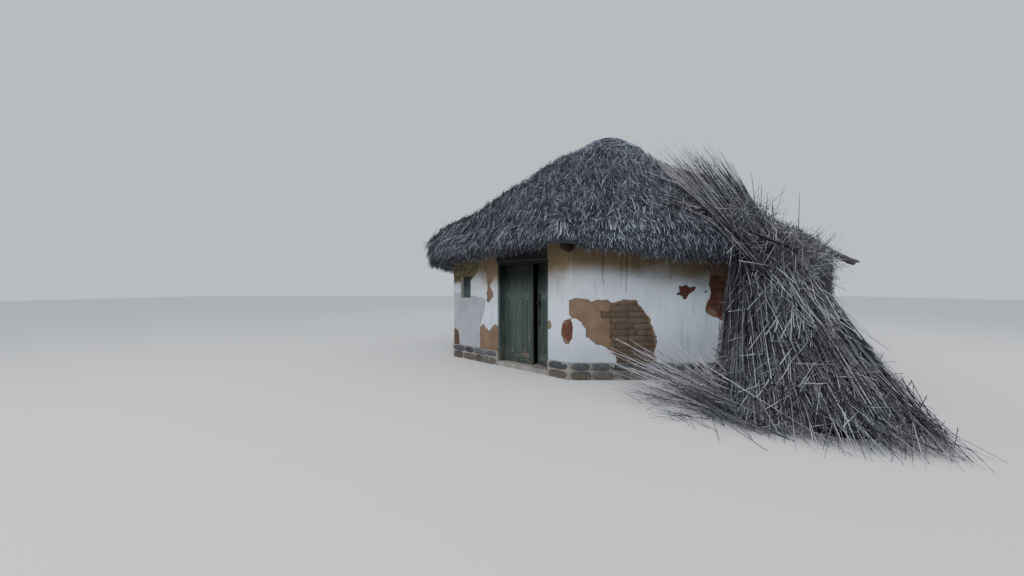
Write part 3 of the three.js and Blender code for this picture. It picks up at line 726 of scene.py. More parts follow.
def crown(settings):
    """The cap over the crown: a low dome, closed below, with short reeds that run down from its middle."""
    bundle = Bundle()
    rng = np.random.default_rng(190)
    angles = np.linspace(0, TAU, 49)[:-1]
    radii = np.array([0.02, 0.15, 0.35, 0.55, 0.70, 0.80, 0.84, 0.82, 0.65, 0.4, 0.05])
    heights = cap_height(radii)
    heights[6:] -= np.array([0.05, 0.07, 0.06, 0.06, 0.06])
    heights[:6] -= 0.02
    flat = radii[:, None] * octagon(angles)[None]
    dip = crown_dip(angles[None] + 0 * flat, radii[:, None] + 0 * flat)
    rings = polar(flat, angles, heights[:, None] - dip)
    # The cap's body is darkened the same way: painted shade under its reeds.
    bundle.add_rings(rings[::-1], 0.15, 0.2)
    count = CAP_REEDS
    angle = rng.uniform(0, TAU, count)
    radius = np.sqrt(rng.uniform(0.0, 0.84**2, count))
    here = polar(radius * octagon(angle), angle, cap_height(radius) - crown_dip(angle, radius))
    outward, sideways = level_ways(angle)
    fall = np.interp(radius, [0, 0.3, 0.6, 1.12], [0.10, 0.35, 0.50, 0.52])
    turn = rng.normal(0, 0.22, count)
    lift = rng.uniform(-0.02, 0.10, count) * np.minimum(1, radius + 0.2)
    way = unit(swung(outward, sideways, turn) + (lift - fall)[:, None] * np.array([0, 0, 1]))
    length = rng.uniform(0.10, 0.24, count)
    start = here - way * (length * 0.6)[:, None] - np.array([0, 0, 0.012])
    tone = np.clip(rng.beta(0.8, 1.0, count) + 0.22, 0, 1)
    width = settings.width * rng.uniform(0.6, 1.2, count)
    bundle.add(*stalks(start, way, length, width, tone, taper=0.35, seed=191))
    return bundle.mesh("cap_reeds", shade_smooth=False)


def rope(name, radius, thick, strands=3, turns=64, steps=448):
    """A twisted rope round the crown: each strand circles the rope's middle line, an octagon."""
    bundle = Bundle()
    share = np.arange(steps) / steps
    angle = share * TAU
    middle = polar(radius * octagon(angle), angle, 0)
    level = np.full(steps, radius)
    middle[:, 2] = roof_height(ROOF_TOP, angle, level) - crown_dip(angle, level) + thick * 0.9
    ahead = unit(np.roll(middle, -1, 0) - np.roll(middle, 1, 0))
    up = np.array([0, 0, 1.0])
    side = unit(np.cross(ahead, up))
    rise = np.cross(side, ahead)
    for strand in range(strands):
        twist = share * TAU * turns + strand * TAU / strands
        centre = middle + swung(side, rise, twist) * thick * 0.5
        points = (centre[:, None] + spokes(side, rise, 5) * thick * 0.52).reshape(-1, 3)
        bundle.add(points, [loop_quads(steps, 5)[:, ::-1]], np.tile([0.2, 1.0], (len(points), 1)))
    return bundle.mesh(name)


class HUT_OT_crown(Operator):
    """Cap the crown with reeds and bind its foot with a twisted rope."""

    bl_idname = "hut.crown"
    bl_label = "Crown"

    def execute(self, context):
        settings = context.scene.hut_thatch
        cap = crown(settings)
        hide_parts("thatch_cap")
        reed = reed_material("Cap reed", settings.dark, shade(settings.pale, 1.2), settings.tint)
        dress(cap, reed)
        binding = rope("cap_rope", CAP_RADIUS + 0.03, 0.016)
        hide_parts("cap_binding")
        bark = wood_material("Twisted bark", (0.020, 0.020, 0.024), (0.095, 0.092, 0.100), (20, 20, 20))
        dress(binding, bark)
        return {"FINISHED"}


# Walls

class WallSettings(PropertyGroup):
    """Sizes and colours of the plaster and the bricks."""

    step: FloatProperty(
        name="Mesh step", description="Distance between points of a wall's skin",
        default=0.017, unit="LENGTH",
    )
    far_step: FloatProperty(
        name="Far mesh step", description="The same on the walls behind", default=0.035, unit="LENGTH",
    )
    clay_level: FloatProperty(
        name="Clay thickness", description="Clay render over the bricks", default=0.014, unit="LENGTH",
    )
    lime_level: FloatProperty(
        name="Lime thickness", description="Lime wash over the clay", default=0.009, unit="LENGTH",
    )
    course: FloatProperty(
        name="Brick course", description="Height of a brick and its joint", default=0.0985, unit="LENGTH",
    )
    brick: FloatProperty(
        name="Brick length", description="Length of a brick and its joint", default=0.286, unit="LENGTH",
    )
    lime: FloatVectorProperty(
        name="Lime wash", description="Colour of sound lime wash",
        default=(0.60, 0.66, 0.76), subtype="COLOR",
    )
    # Grime colour under the eave; it also carries the eave's painted shade.
    grime_and_shade: FloatVectorProperty(
        name="Grime", description="Dirty lime wash under the eave, with painted shade",
        default=(0.115, 0.088, 0.048), subtype="COLOR",
    )
    clay: FloatVectorProperty(
        name="Clay", description="Colour of the clay render", default=(0.20, 0.135, 0.090), subtype="COLOR",
    )
    cement: FloatVectorProperty(
        name="Dado", description="Grey coat by the door", default=(0.36, 0.37, 0.41), subtype="COLOR",
    )
    red: FloatVectorProperty(
        name="Red brick", description="Colour of burnt brick", default=(0.12, 0.036, 0.027), subtype="COLOR",
    )
    adobe: FloatVectorProperty(
        name="Mud brick", description="Colour of unburnt brick",
        default=(0.112, 0.088, 0.064), subtype="COLOR",
    )


WALL_SKIN_TOP = 2.32
# How deep skins and bricks reach into a wall, and the height and x that the grid of bricks starts from.
BED = 0.004
COURSES_FROM, COLUMNS_FROM = 1.2145, -0.865
WALL_NAMES = {
    DOOR_WALL: "door_side", FRONT: "front", 1: "front_right", 2: "right",
    3: "back_right", 4: "back", 5: "back_left", 6: "left",
}
END = WALL_HALF + 0.02

# Outlines of damage, as x and z in the wall's own frame.
PATCH = [
    (-END, 1.288), (-1.468, 1.337), (-1.40, 1.35), (-1.273, 1.321), (-1.191, 1.288), (-0.930, 1.321),
    (-0.881, 1.255), (-0.783, 1.288), (-0.604, 1.321), (-0.441, 1.288), (-0.375, 1.190), (-0.261, 1.043),
    (-0.180, 0.864), (-0.150, 0.733), (-0.120, 0.635), (-0.16, 0.45), (-0.10, 0.20), (-0.75, 0.20),
    (-0.79, 0.391), (-0.865, 0.472), (-0.995, 0.554), (-1.110, 0.586), (-1.256, 0.701), (-1.273, 0.831),
    (-1.354, 0.945), (-1.43, 1.00), (-1.485, 1.011), (-1.517, 0.962), (-1.50, 1.03), (-END, 1.06),
]
STAR = [
    (0.233, 1.538), (0.295, 1.526), (0.337, 1.557), (0.409, 1.516), (0.504, 1.516), (0.482, 1.454),
    (0.399, 1.402), (0.368, 1.329), (0.326, 1.319), (0.264, 1.381), (0.202, 1.402), (0.243, 1.433),
]
RIGHT_ZONE = [
    (0.70, 2.40), (0.717, 1.908), (0.742, 1.696), (0.734, 1.484), (0.742, 1.353), (0.669, 1.223),
    (0.660, 1.125), (0.742, 1.060), (0.881, 0.994), (1.044, 0.929), (1.30, 0.95), (END, 0.90), (END, 2.40),
]
OVAL_FRONT = [
    (-END, 1.00), (-1.53, 1.01), (-1.50, 0.93), (-1.483, 0.80), (-1.50, 0.68), (-1.53, 0.60), (-END, 0.58),
]
OVAL_DOOR = [
    (END, 1.00), (1.47, 0.97), (1.41, 0.90), (1.386, 0.80), (1.40, 0.72), (1.45, 0.62), (1.50, 0.57),
    (END, 0.58),
]
CHIP = [(1.09, 0.93), (1.15, 0.94), (1.19, 0.88), (1.17, 0.80), (1.09, 0.79)]
BY_DOOR = [
    (-0.54, 2.40), (-0.534, 2.09), (-0.504, 1.91), (-0.461, 1.74), (-0.434, 1.47), (-0.461, 1.32),
    (-0.50, 1.22), (-0.392, 1.22), (-0.266, 1.32), (-0.255, 1.43), (-0.321, 1.47), (-0.377, 1.58),
    (-0.277, 1.64), (-0.221, 1.774), (-0.195, 1.91), (-0.19, 2.40),
]
MOSSY = [
    (-0.62, 2.40), (-0.66, 1.95), (-0.80, 1.78), (-0.96, 1.65), (-1.32, 1.63), (-END, 1.60), (-END, 2.40),
]
DADO = [
    (-END, 1.42), (-1.12, 1.39), (-0.80, 1.33), (-0.504, 1.286), (-0.53, 1.10), (-0.60, 0.86), (-0.66, 0.70),
    (-0.63, 0.20), (-END, 0.20),
]
FOOT = [
    (-0.66, 0.70), (-0.55, 0.78), (-0.45, 0.70), (-0.38, 0.66), (-0.28, 0.76), (-0.19, 0.80), (-0.14, 0.70),
    (-0.14, 0.20), (-0.66, 0.20),
]
FOOT_BRICK = [(-END, 0.62), (-1.40, 0.58), (-1.33, 0.45), (-1.36, 0.20), (-END, 0.20)]
BARE_PATCH = [
    (-0.90, 1.12), (-0.88, 1.22), (-0.70, 1.255), (-0.45, 1.26), (-0.30, 1.06), (-0.20, 0.84), (-0.15, 0.60),
    (-0.20, 0.20), (-0.74, 0.20), (-0.80, 0.45), (-0.875, 0.60), (-0.875, 1.00), (-1.03, 1.02), (-1.06, 1.13),
]
BARE_RIGHT = [
    (0.76, 1.72), (0.83, 1.70), (0.86, 1.63), (0.97, 1.63), (1.04, 1.50), (1.20, 1.46), (1.45, 1.42),
    (1.44, 1.0), (0.95, 1.06), (0.74, 1.18), (0.755, 1.35), (0.75, 1.50),
]
BARE_OVAL = [(-END, 0.98), (-1.51, 0.97), (-1.470, 0.80), (-1.51, 0.62), (-END, 0.61)]
BARE_OVAL_DOOR = [(END, 0.94), (1.45, 0.90), (1.41, 0.80), (1.44, 0.68), (END, 0.64)]
DOOR_CRACK = [(-0.500, 1.30), (-0.534, 1.086), (-0.60, 0.95), (-0.63, 0.91), (-0.658, 0.768), (-0.64, 0.60)]
CRACKS = {
    FRONT: [
        [(-0.995, 2.30), (-0.985, 1.98), (-1.00, 1.70), (-0.98, 1.55)],
        [(-0.605, 2.30), (-0.60, 1.80), (-0.615, 1.45)],
    ],
    DOOR_WALL: [DOOR_CRACK],
}


def mirrored(outline, shift=0.0, lift=0.0):
    """The outline turned left for right, and moved."""
    return [(shift - x, z + lift) for x, z in outline]


def moved(outline, shift=0.0, lift=0.0):
    """The outline moved along and up the wall."""
    return [(x + shift, z + lift) for x, z in outline]


FLAKED = {
    FRONT: [PATCH, STAR, RIGHT_ZONE, OVAL_FRONT],
    DOOR_WALL: [OVAL_DOOR, CHIP, BY_DOOR, MOSSY, FOOT, FOOT_BRICK],
    1: [moved(STAR, -1.2, 0.2)],
    2: [moved(STAR, 0.7, 0.3)],
    3: [moved(STAR, -0.9, -0.2), moved(STAR, 0.5, -0.75)],
    4: [mirrored(STAR, -0.4, 0.25)],
    5: [moved(STAR, 0.6, 0.1)],
    6: [moved(STAR, 0.3, -0.1)],
}
BARE = {FRONT: [BARE_PATCH, BARE_RIGHT, BARE_OVAL, STAR], DOOR_WALL: [BARE_OVAL_DOOR, FOOT_BRICK]}
# The large patch on each wall behind, moved along it and up.
for side, lay_on, shift, lift in (
    (1, moved, 1.2, -0.35), (2, mirrored, -0.1, -0.25), (3, moved, 1.7, -0.55),
    (4, moved, 0.9, -0.2), (5, mirrored, -0.5, -0.5), (6, moved, 0.15, -0.45),
):
    FLAKED[side].append(lay_on(PATCH, shift, lift))
    BARE[side] = [lay_on(BARE_PATCH, shift, lift)]


def oblong(left, low, right, high):
    """The outline of an opening."""
    return [(left, low), (right, low), (right, high), (left, high)]


def inside(outline, x, z):
    """Distance to a closed outline's nearest side, positive inside.

    A point is inside where a level ray from it crosses the outline an odd number of times.
    """
    a = np.array(outline)
    b = np.roll(a, -1, 0)
    side = b - a
    away = np.stack([x, z], -1)[..., None, :] - a
    share = np.clip((away * side).sum(-1) / (side**2).sum(-1), 0, 1)
    near = np.linalg.norm(away - share[..., None] * side, axis=-1).min(-1)
    level = z[..., None]
    rise = np.where(side[:, 1] == 0, 1e-9, side[:, 1])
    meets = side[:, 0] * (level - a[:, 1]) / rise + a[:, 0]
    crossed = ((a[:, 1] > level) != (b[:, 1] > level)) & (x[..., None] < meets)
    return np.where(crossed.sum(-1) % 2 == 1, near, -near)


def deepest(outlines, x, z):
    """The greatest of the distances inside some outlines."""
    return np.maximum.reduce([inside(o, x, z) for o in outlines] or [np.full(x.shape, -9.0)])


def crack_gap(wall, x, z):
    """Sideways distance to the nearest crack, measured level, and large above or below its ends."""
    gap = np.full(x.shape, 1.0)
    for line in CRACKS.get(wall, []):
        line = np.array(sorted(line, key=lambda p: p[1]))
        middle = np.interp(z, line[:, 1], line[:, 0])
        beyond = np.maximum(0, np.maximum(line[0, 1] - z, z - line[-1, 1]))
        signed = x - middle
        signed = np.sign(signed + 1e-9) * (np.abs(signed) + beyond)
        gap = np.where(np.abs(signed) < np.abs(gap), signed, gap)
    return gap


def spaced(stops, step):
    """The stops, joined by even steps of about one size."""
    runs = [np.linspace(a, b, max(2, round((b - a) / step) + 1))[:-1] for a, b in zip(stops, stops[1:])]
    return np.concatenate(runs + [[stops[-1]]])


def wall_fields(wall, x, z):
    """Damage over a wall: how far inside its flaked, bare, grey and mossy parts, and how far from a crack."""
    spot = turned(np.stack([x, np.full_like(x, -WALL_FACE), z], -1), wall)
    ragged = 0.014 * ripple(spot, 0.13, 41) + 0.008 * ripple(spot, 0.05, 42)
    flaked = deepest(FLAKED[wall], x, z) + ragged
    if wall not in (FRONT, DOOR_WALL):
        worn_foot = 0.10 * ripple(spot, 0.7, 43) + 0.05 * ripple(spot, 0.2, 44) - 0.17
        worn_foot += 0.20 * smooth(0.95, 0.3, z)
        flaked = np.maximum(flaked, worn_foot)
    bare = np.minimum(deepest(BARE[wall], x, z) + ragged, flaked - 0.004)
    dado = deepest([DADO] if wall == DOOR_WALL else [], x, z) + ragged * 0.6
    moss = deepest([MOSSY] if wall == DOOR_WALL else [], x, z) + ragged
    return spot, flaked, bare, dado, moss, crack_gap(wall, x, z)


def wall_depth(settings, spot, x, flaked, bare, crack, edge_gap):
    """How far the skin stands off the wall: clay, and lime where it holds, less bare parts and cracks."""
    depth = settings.clay_level + 0.006 * ripple(spot, 0.9, 51) + 0.003 * ripple(spot, 0.22, 52)
    depth += settings.lime_level * smooth(-0.006, 0.008, -flaked)
    depth -= (settings.clay_level - 0.002) * smooth(-0.006, 0.016, bare)
    depth -= 0.010 * smooth(0.022, 0.004, np.abs(crack)) * (flaked < 0.02)
    depth += 0.0015 * ripple(spot, 0.06, 53)
    corner = 0.008 + 0.004 * np.sin(spot[..., 2] * 5.1)
    share = smooth(0.0, 0.06, WALL_HALF - np.abs(x))
    depth = corner * (1 - share) + depth * share
    return np.maximum(depth * (0.25 + 0.75 * smooth(-0.002, 0.035, edge_gap)), 0.0025)


def masked_skin(name, wall, x, z, depth, kept, values):
    """A wall's skin: an outer face, a back just inside the wall's own face, and sides round each edge.

    A point of the outer face is x * (1 + depth / face), -(face + depth), z, so two skins meet in a mitre.
    """
    count = x.size
    outer = np.stack([x * (1 + depth / WALL_FACE), -(WALL_FACE + depth), z], -1)
    back = np.stack([x, np.full_like(x, BED - WALL_FACE), z], -1)
    points = turned(np.concatenate([outer.reshape(-1, 3), back.reshape(-1, 3)]), wall)
    index = np.arange(count).reshape(x.shape)
    a, b, c, d = index[:-1, :-1], index[1:, :-1], index[1:, 1:], index[:-1, 1:]
    quads = [np.stack([a, b, c, d], -1)[kept]]
    around = np.pad(kept, 1)
    beside = (around[1:-1, :-2], around[2:, 1:-1], around[1:-1, 2:], around[:-2, 1:-1])
    for p, q, other in ((a, b, beside[0]), (b, c, beside[1]), (c, d, beside[2]), (d, a, beside[3])):
        edge = kept & ~other
        p, q = p[edge], q[edge]
        quads.append(np.stack([q, p, p + count, q + count], 1))
    quads = np.concatenate(quads)
    used, fresh = np.unique(quads, return_inverse=True)
    values = {key: np.tile(v.ravel(), 2)[used] for key, v in values.items()}
    uv = np.tile(np.stack([x.ravel(), z.ravel()], -1), (2, 1))[used]
    piece = put_mesh(name, points[used], [fresh.reshape(quads.shape)], values, uv)
    close_back(piece)
    return piece


def close_back(piece):
    """Fills a skin's open back with few flat faces, and points all its faces outwards."""
    mesh = bmesh.new()
    mesh.from_mesh(piece.data)
    rim = [edge for edge in mesh.edges if edge.is_boundary]
    bmesh.ops.triangle_fill(mesh, edges=rim, use_beauty=False)
    bmesh.ops.recalc_face_normals(mesh, faces=mesh.faces)
    mesh.to_mesh(piece.data)
    mesh.free()


def wall_skin(wall, settings):
    """The plaster of one wall, with its openings left free."""
    near = wall in (FRONT, DOOR_WALL)
    step = settings.step if near else settings.far_step
    across, up = [-WALL_HALF, WALL_HALF], [PLINTH_TOP, WALL_SKIN_TOP]
    if wall == DOOR_WALL:
        across = [-WALL_HALF, WINDOW_LOW[0], WINDOW_HIGH[0], DOORWAY_LEFT, DOORWAY_RIGHT, WALL_HALF]
        up = [PLINTH_TOP, WINDOW_LOW[2], WINDOW_HIGH[2], DOORWAY_TOP, WALL_SKIN_TOP]
    x, z = np.meshgrid(spaced(across, step), spaced(up, step), indexing="ij")
    middle_x, middle_z = (x[:-1, :-1] + x[1:, 1:]) / 2, (z[:-1, :-1] + z[1:, 1:]) / 2
    kept = np.ones(middle_x.shape, bool)
    edge_gap = np.full(x.shape, 1.0)
    if wall == DOOR_WALL:
        door = oblong(DOORWAY_LEFT, 0, DOORWAY_RIGHT, DOORWAY_TOP)
        window = oblong(WINDOW_LOW[0], WINDOW_LOW[2], WINDOW_HIGH[0], WINDOW_HIGH[2])
        kept = deepest([door, window], middle_x, middle_z) < 0
        edge_gap = -deepest([door, window], x, z)
    spot, flaked, bare, dado, moss, crack = wall_fields(wall, x, z)
    depth = wall_depth(settings, spot, x, flaked, bare, crack, edge_gap)
    values = {"flaked": flaked, "bare": bare, "dado": dado, "moss": moss, "crack": crack}
    return masked_skin("plaster_%s" % WALL_NAMES[wall], wall, x, z, depth, kept, values)


def block(bundle, wall, middle, size, depths, rng, first, second, squareness=9.0, worn=0.004):
    """A brick or stone in a wall's face: a worn rectangle, carried outwards in four rings.

    The rectangle is |x|^p + |z|^p = 1, whose corners grow sharper with p, made uneven corner by corner.
    """
    corners = 12
    turn = (np.arange(corners) + 0.5) * TAU / corners
    c, s = np.cos(turn), np.sin(turn)
    reach = (np.abs(c) ** squareness + np.abs(s) ** squareness) ** (-1 / squareness)
    reach = reach * (1 + rng.normal(0, 0.030, corners))
    half = np.array(size) / 2
    flat = np.stack([c * reach * half[0], s * reach * half[1]], -1)
    back, face = depths
    tilt = rng.normal(0, 0.0016, 2)
    rings = np.zeros((4, corners, 3))
    profile = ((back, 0), (face - worn, 0), (face - worn * 0.3, 0.4), (face, 1.1))
    for ring, (depth, inset) in enumerate(profile):
        x, z = np.moveaxis(middle + flat * (1 - inset * worn / half), -1, 0)
        lean = (flat / half) @ tilt if ring else 0
        rings[ring] = np.stack([x, -(depth + lean) + 0 * turn, z], -1)
    bundle.add_rings(rings, first, second, lambda p: turned(p, wall))


def bricks(settings):
    """Bricks where a wall is bare: courses of the wall's own grid, each brick cut to a worn block."""
    bundle = Bundle("tone", "redness")
    rng = np.random.default_rng(301)
    for wall, outlines in BARE.items():
        for row in range(-10, 12):
            z = COURSES_FROM - settings.course * (row + 0.5)
            shift = rng.choice([0.0, 0.0, 0.5, 0.25])
            for column in range(-8, 8):
                x = COLUMNS_FROM + settings.brick * (column + 0.5 + shift)
                short = settings.brick / 2
                halves = [(x - short / 2, short), (x + short / 2, short)]
                for middle, wide in halves if rng.uniform() < 0.25 else [(x, settings.brick)]:
                    past_corner = abs(middle) > WALL_HALF - wide / 2 - 0.005
                    if past_corner or not PLINTH_TOP + 0.05 < z < WALL_SKIN_TOP - 0.1:
                        continue
                    if deepest(outlines, np.array([middle]), np.array([z]))[0] < -0.45 * wide:
                        continue
                    burnt = wall in (1, 3, 5) or (wall == FRONT and (x > 0 or x < -1.3)) or wall == DOOR_WALL
                    red = rng.uniform(0.75, 1.0) if burnt else rng.uniform(0.0, 0.12)
                    size = (wide - rng.uniform(0.004, 0.022), settings.course - rng.uniform(0.004, 0.020))
                    depths = (WALL_FACE - BED, WALL_FACE + rng.uniform(0.0065, 0.0130))
                    spot = (middle + rng.uniform(-0.005, 0.005), z + rng.uniform(-0.004, 0.004))
                    square, worn = rng.uniform(3.5, 8.0), rng.uniform(0.003, 0.007)
                    tone = rng.uniform(0, 1)
                    block(bundle, wall, spot, size, depths, rng, tone, red, square, worn)
    for z in COURSES_FROM - settings.course * (np.arange(2, 6) + 0.5):
        depths = (WALL_FACE - BED, WALL_FACE + rng.uniform(0.008, 0.012))
        high = settings.course - 0.007
        block(bundle, FRONT, (-WALL_HALF + 0.042, z), (0.076, high), depths, rng, rng.uniform(0.3, 1), 0.9)
        block(bundle, DOOR_WALL, (WALL_HALF - 0.052, z), (0.094, high), depths, rng, rng.uniform(0.3, 1), 0.9)
    return bundle.mesh("bare_bricks")


def lime_finish(settings):
    """Lime wash on clay: the coats are parted by the damage distances, with ragged edges from fine noise."""
    s = Shader("Lime wash over clay")
    lime, grime_and_shade, clay = settings.lime, settings.grime_and_shade, settings.clay
    aside, height = s.coordinate("X"), s.coordinate("Z")
    ragged = s.times(s.minus(s.noise(45, 5, 0.65), 0.5), 0.028)
    flaked = s.plus(s.value("flaked"), ragged)
    bare = s.plus(s.value("bare"), ragged)
    gone = s.band(flaked, -0.0015, 0.0015)
    opened = s.band(bare, -0.002, 0.004)
    broad, fine = s.noise(2.2, 5), s.noise(60, 4, 0.7)
    brushed = s.noise(9, 4, 0.6, s.place((1, 1, 3.5)))
    # The wash darkens and browns with height towards the eave: real grime, deepened with painted shade from
    # the eave; between x -1.5 and -0.7 it darkens less.
    less_darkened = s.times(s.band(aside, -1.62, -1.50), s.band(aside, 0.3, -0.7))
    dirt_and_shade = s.plus(height, s.times(s.minus(s.noise(1.7, 4), 0.5), 0.45))
    dirt_and_shade = s.minus(dirt_and_shade, s.times(less_darkened, 0.11))
    runs = s.noise(14, 3, 0.6, s.place((1, 1, 0.08)))
    spots = s.band(s.noise(38, 2, 0.5), 0.70, 0.76)
    grey = s.band(s.plus(s.value("dado"), ragged), -0.003, 0.003)
    dado = s.blend(s.band(broad, 0.3, 0.7), settings.cement, shade(settings.cement, 0.72))
    crack = s.plus(s.math("ABSOLUTE", s.value("crack")), s.times(ragged, 0.16))
    split = s.band(crack, 0.0055, 0.0025)
    coat = s.coats(
        lime,
        (s.band(broad, 0.35, 0.7), shade(lime, 0.84)),
        (s.band(brushed, 0.45, 0.8, 0, 0.5), shade(lime, 0.80)),
        # These two layers are the grime and the painted eave shade, from about 1.1 m up.
        (s.band(dirt_and_shade, 1.10, 1.68, 0, 0.55), (0.27, 0.26, 0.215)),
        (s.band(dirt_and_shade, 1.48, 1.88, 0, 0.96), shade(grime_and_shade, 1.34, 1.20, 1.10)),
        (s.band(runs, 0.56, 0.74, 0, 0.35), shade(grime_and_shade, 0.6)),
        (s.band(height, 0.95, 0.30, 0, 0.55), shade(lime, 0.55)),
        (s.times(spots, 0.7), shade(clay, 0.7)),
        (grey, dado),
        (s.times(split, 0.85), (0.03, 0.025, 0.022)),
    )
    pits = s.band(s.noise(24, 2, 0.5), 0.30, 0.24)
    moss = s.band(s.plus(s.value("moss"), s.times(ragged, 3.0)), -0.01, 0.03)
    blotch = s.times(moss, s.band(s.noise(13, 4), 0.42, 0.62))
    mortar = s.blend(fine, shade(clay, 0.28), shade(clay, 0.62))
    # Painted shadow: the clay darkens just inside the lime wash's edge, as if the wash's step cast it.
    rim = s.band(flaked, 0.012, 0.001)
    render = s.coats(
        clay,
        (s.band(s.noise(4, 6), 0.3, 0.7), shade(clay, 0.70)),
        (s.band(fine, 0.55, 0.75, 0, 0.5), shade(clay, 1.45)),
        (s.times(pits, 0.8), shade(clay, 0.35)),
        (s.times(moss, 0.75), (0.13, 0.115, 0.055)),
        (s.times(blotch, 0.8), (0.040, 0.036, 0.022)),
        (opened, mortar),
        # The painted shadow along the wash's edge.
        (s.times(rim, 0.5), shade(clay, 0.4)),
    )
    base = s.blend(gone, coat, render)
    grain = s.plus(s.times(fine, 0.35), s.times(brushed, 0.25))
    relief = s.plus(s.plus(s.minus(1.0, gone), grain), s.times(split, -0.8))
    return s.finish(base, 0.92, relief, 0.75, 0.006)


def brick_finish(settings):
    """Bricks: mud or burnt by each brick's redness, darker and paler by its tone, with grit and chips."""
    s = Shader("Bare brick")
    tone, red = s.value("tone"), s.value("redness")
    mud = s.blend(tone, shade(settings.adobe, 0.80), shade(settings.adobe, 1.12))
    burnt = s.blend(tone, shade(settings.red, 0.6), shade(settings.red, 1.25))
    grit = s.noise(70, 5, 0.7)
    worn = s.noise(14, 5)
    base = s.coats(
        mud,
        (red, burnt),
        (s.band(worn, 0.5, 0.72, 0, 0.55), shade(settings.adobe, 0.55)),
        (s.band(grit, 0.6, 0.75, 0, 0.4), shade(settings.adobe, 1.5)),
    )
    return s.finish(base, 0.95, s.plus(s.times(grit, 0.6), worn), 0.8, 0.006)


class HUT_OT_walls(Operator):
    """Coat the eight walls with lime wash and clay, and lay bare the bricks where the coats have fallen."""

    bl_idname = "hut.walls"
    bl_label = "Walls"

    def execute(self, context):
        settings = context.scene.hut_walls
        finish = lime_finish(settings)
        for wall in WALL_NAMES:
            dress(wall_skin(wall, settings), finish)
        dress(bricks(settings), brick_finish(settings))
        inner = clay_material("Smoke-dulled plaster", (0.34, 0.31, 0.27), (0.52, 0.49, 0.44))
        repaint(inner, *[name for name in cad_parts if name.endswith("_wall")])
        repaint(inner, "wall_right_of_door", "wall_left_of_door", "wall_over_door")
        repaint(clay_material("Trodden clay", (0.16, 0.12, 0.09), (0.27, 0.21, 0.155)), "clay_floor")
        return {"FINISHED"}


# Plinth

class PlinthSettings(PropertyGroup):
    """Sizes and colours of the plinth's stones."""

    stone_wide: FloatProperty(
        name="Stone length", description="Mean length of a plinth stone", default=0.33, unit="LENGTH",
    )
    proud: FloatProperty(
        name="Proud", description="How far stones stand out of the mortar", default=0.016, unit="LENGTH",
    )
    dark: FloatVectorProperty(
        name="Dark stone", description="Darkest stone", default=(0.045, 0.045, 0.051), subtype="COLOR",
    )
    pale: FloatVectorProperty(
        name="Pale stone", description="Palest stone", default=(0.130, 0.130, 0.140), subtype="COLOR",
    )


# Lower and upper edge of each course.
PLINTH_COURSES = ((0.004, 0.145), (0.150, 0.274))


def plinth_runs():
    """Stretches of plinth by wall, as x from and to, left free at the doorway."""
    runs = {wall: [(-WALL_HALF, WALL_HALF)] for wall in range(7)}
    runs[DOOR_WALL] = [(-WALL_HALF, DOORWAY_LEFT - 0.01), (DOORWAY_RIGHT + 0.01, WALL_HALF)]
    return runs


def plinth_stones(settings):
    """Stones in two courses round the foot: worn blocks of uneven length in a mortar bed."""
    bundle = Bundle("tone", "along")
    rng = np.random.default_rng(401)
    for wall, runs in plinth_runs().items():
        for start, stop in runs:
            for low, high in PLINTH_COURSES:
                count = max(1, round((stop - start - 0.03) / (settings.stone_wide * rng.uniform(0.85, 1.15))))
                cuts = np.linspace(start + 0.015, stop - 0.015, count + 1)
                cuts[1:-1] += rng.normal(0, 0.035, count - 1)
                for a, b in zip(cuts, cuts[1:]):
                    size = (b - a - rng.uniform(0.008, 0.02), (high - low) * rng.uniform(0.86, 0.99))
                    depths = (PLINTH_FACE - 0.005, PLINTH_FACE + settings.proud * rng.uniform(0.5, 1.3))
                    place = ((a + b) / 2, (low + high) / 2)
                    block(bundle, wall, place, size, depths, rng, rng.uniform(0, 1), 0.0, 3.4, 0.012)
    return bundle.mesh("plinth_stones")


def stone_finish(settings):
    """Rough stone: tone by stone, lichen in pale spots, and splashed earth near the ground."""
    s = Shader("Plinth stone")
    rough = s.noise(16, 7, 0.7)
    lichen = s.band(s.noise(9, 5), 0.60, 0.66, 0, 0.5)
    base = s.coats(
        settings.dark,
        (s.value("tone"), settings.pale),
        (s.band(rough, 0.35, 0.7, 0, 0.5), shade(settings.dark, 0.5)),
        (lichen, (0.42, 0.41, 0.33)),
        (s.band(s.coordinate("Z"), 0.20, 0.02, 0, 0.6), (0.15, 0.115, 0.08)),
    )
    return s.finish(base, 0.95, s.plus(rough, s.noise(80, 3)), 0.8, 0.008)


class HUT_OT_plinth(Operator):
    """Lay the plinth's stones and finish the mortar and the threshold."""

    bl_idname = "hut.plinth"
    bl_label = "Plinth"

    def execute(self, context):
        settings = context.scene.hut_plinth
        dress(plinth_stones(settings), stone_finish(settings))
        mortar = clay_material("Lime mortar", (0.17, 0.155, 0.14), (0.30, 0.28, 0.25))
        repaint(mortar, "front_plinth", "right_plinth", "back_plinth", "left_plinth", "plinth_left_of_door")
        repaint(clay_material("Threshold stone", (0.20, 0.18, 0.16), (0.33, 0.31, 0.28)), "threshold")
        return {"FINISHED"}


# Woodwork

class WoodSettings(PropertyGroup):
    """Colours of the doors and the poles."""

    paint: FloatVectorProperty(
        name="Paint", description="Old green paint", default=(0.038, 0.052, 0.046), subtype="COLOR",
    )
    faded: FloatVectorProperty(
        name="Faded paint", description="Sun-bleached paint", default=(0.080, 0.105, 0.094), subtype="COLOR",
    )
    bare: FloatVectorProperty(
        name="Bare wood", description="Wood under the paint", default=(0.16, 0.12, 0.09), subtype="COLOR",
    )
    pole: FloatVectorProperty(
        name="Pole", description="Weathered pole", default=(0.105, 0.092, 0.085), subtype="COLOR",
    )


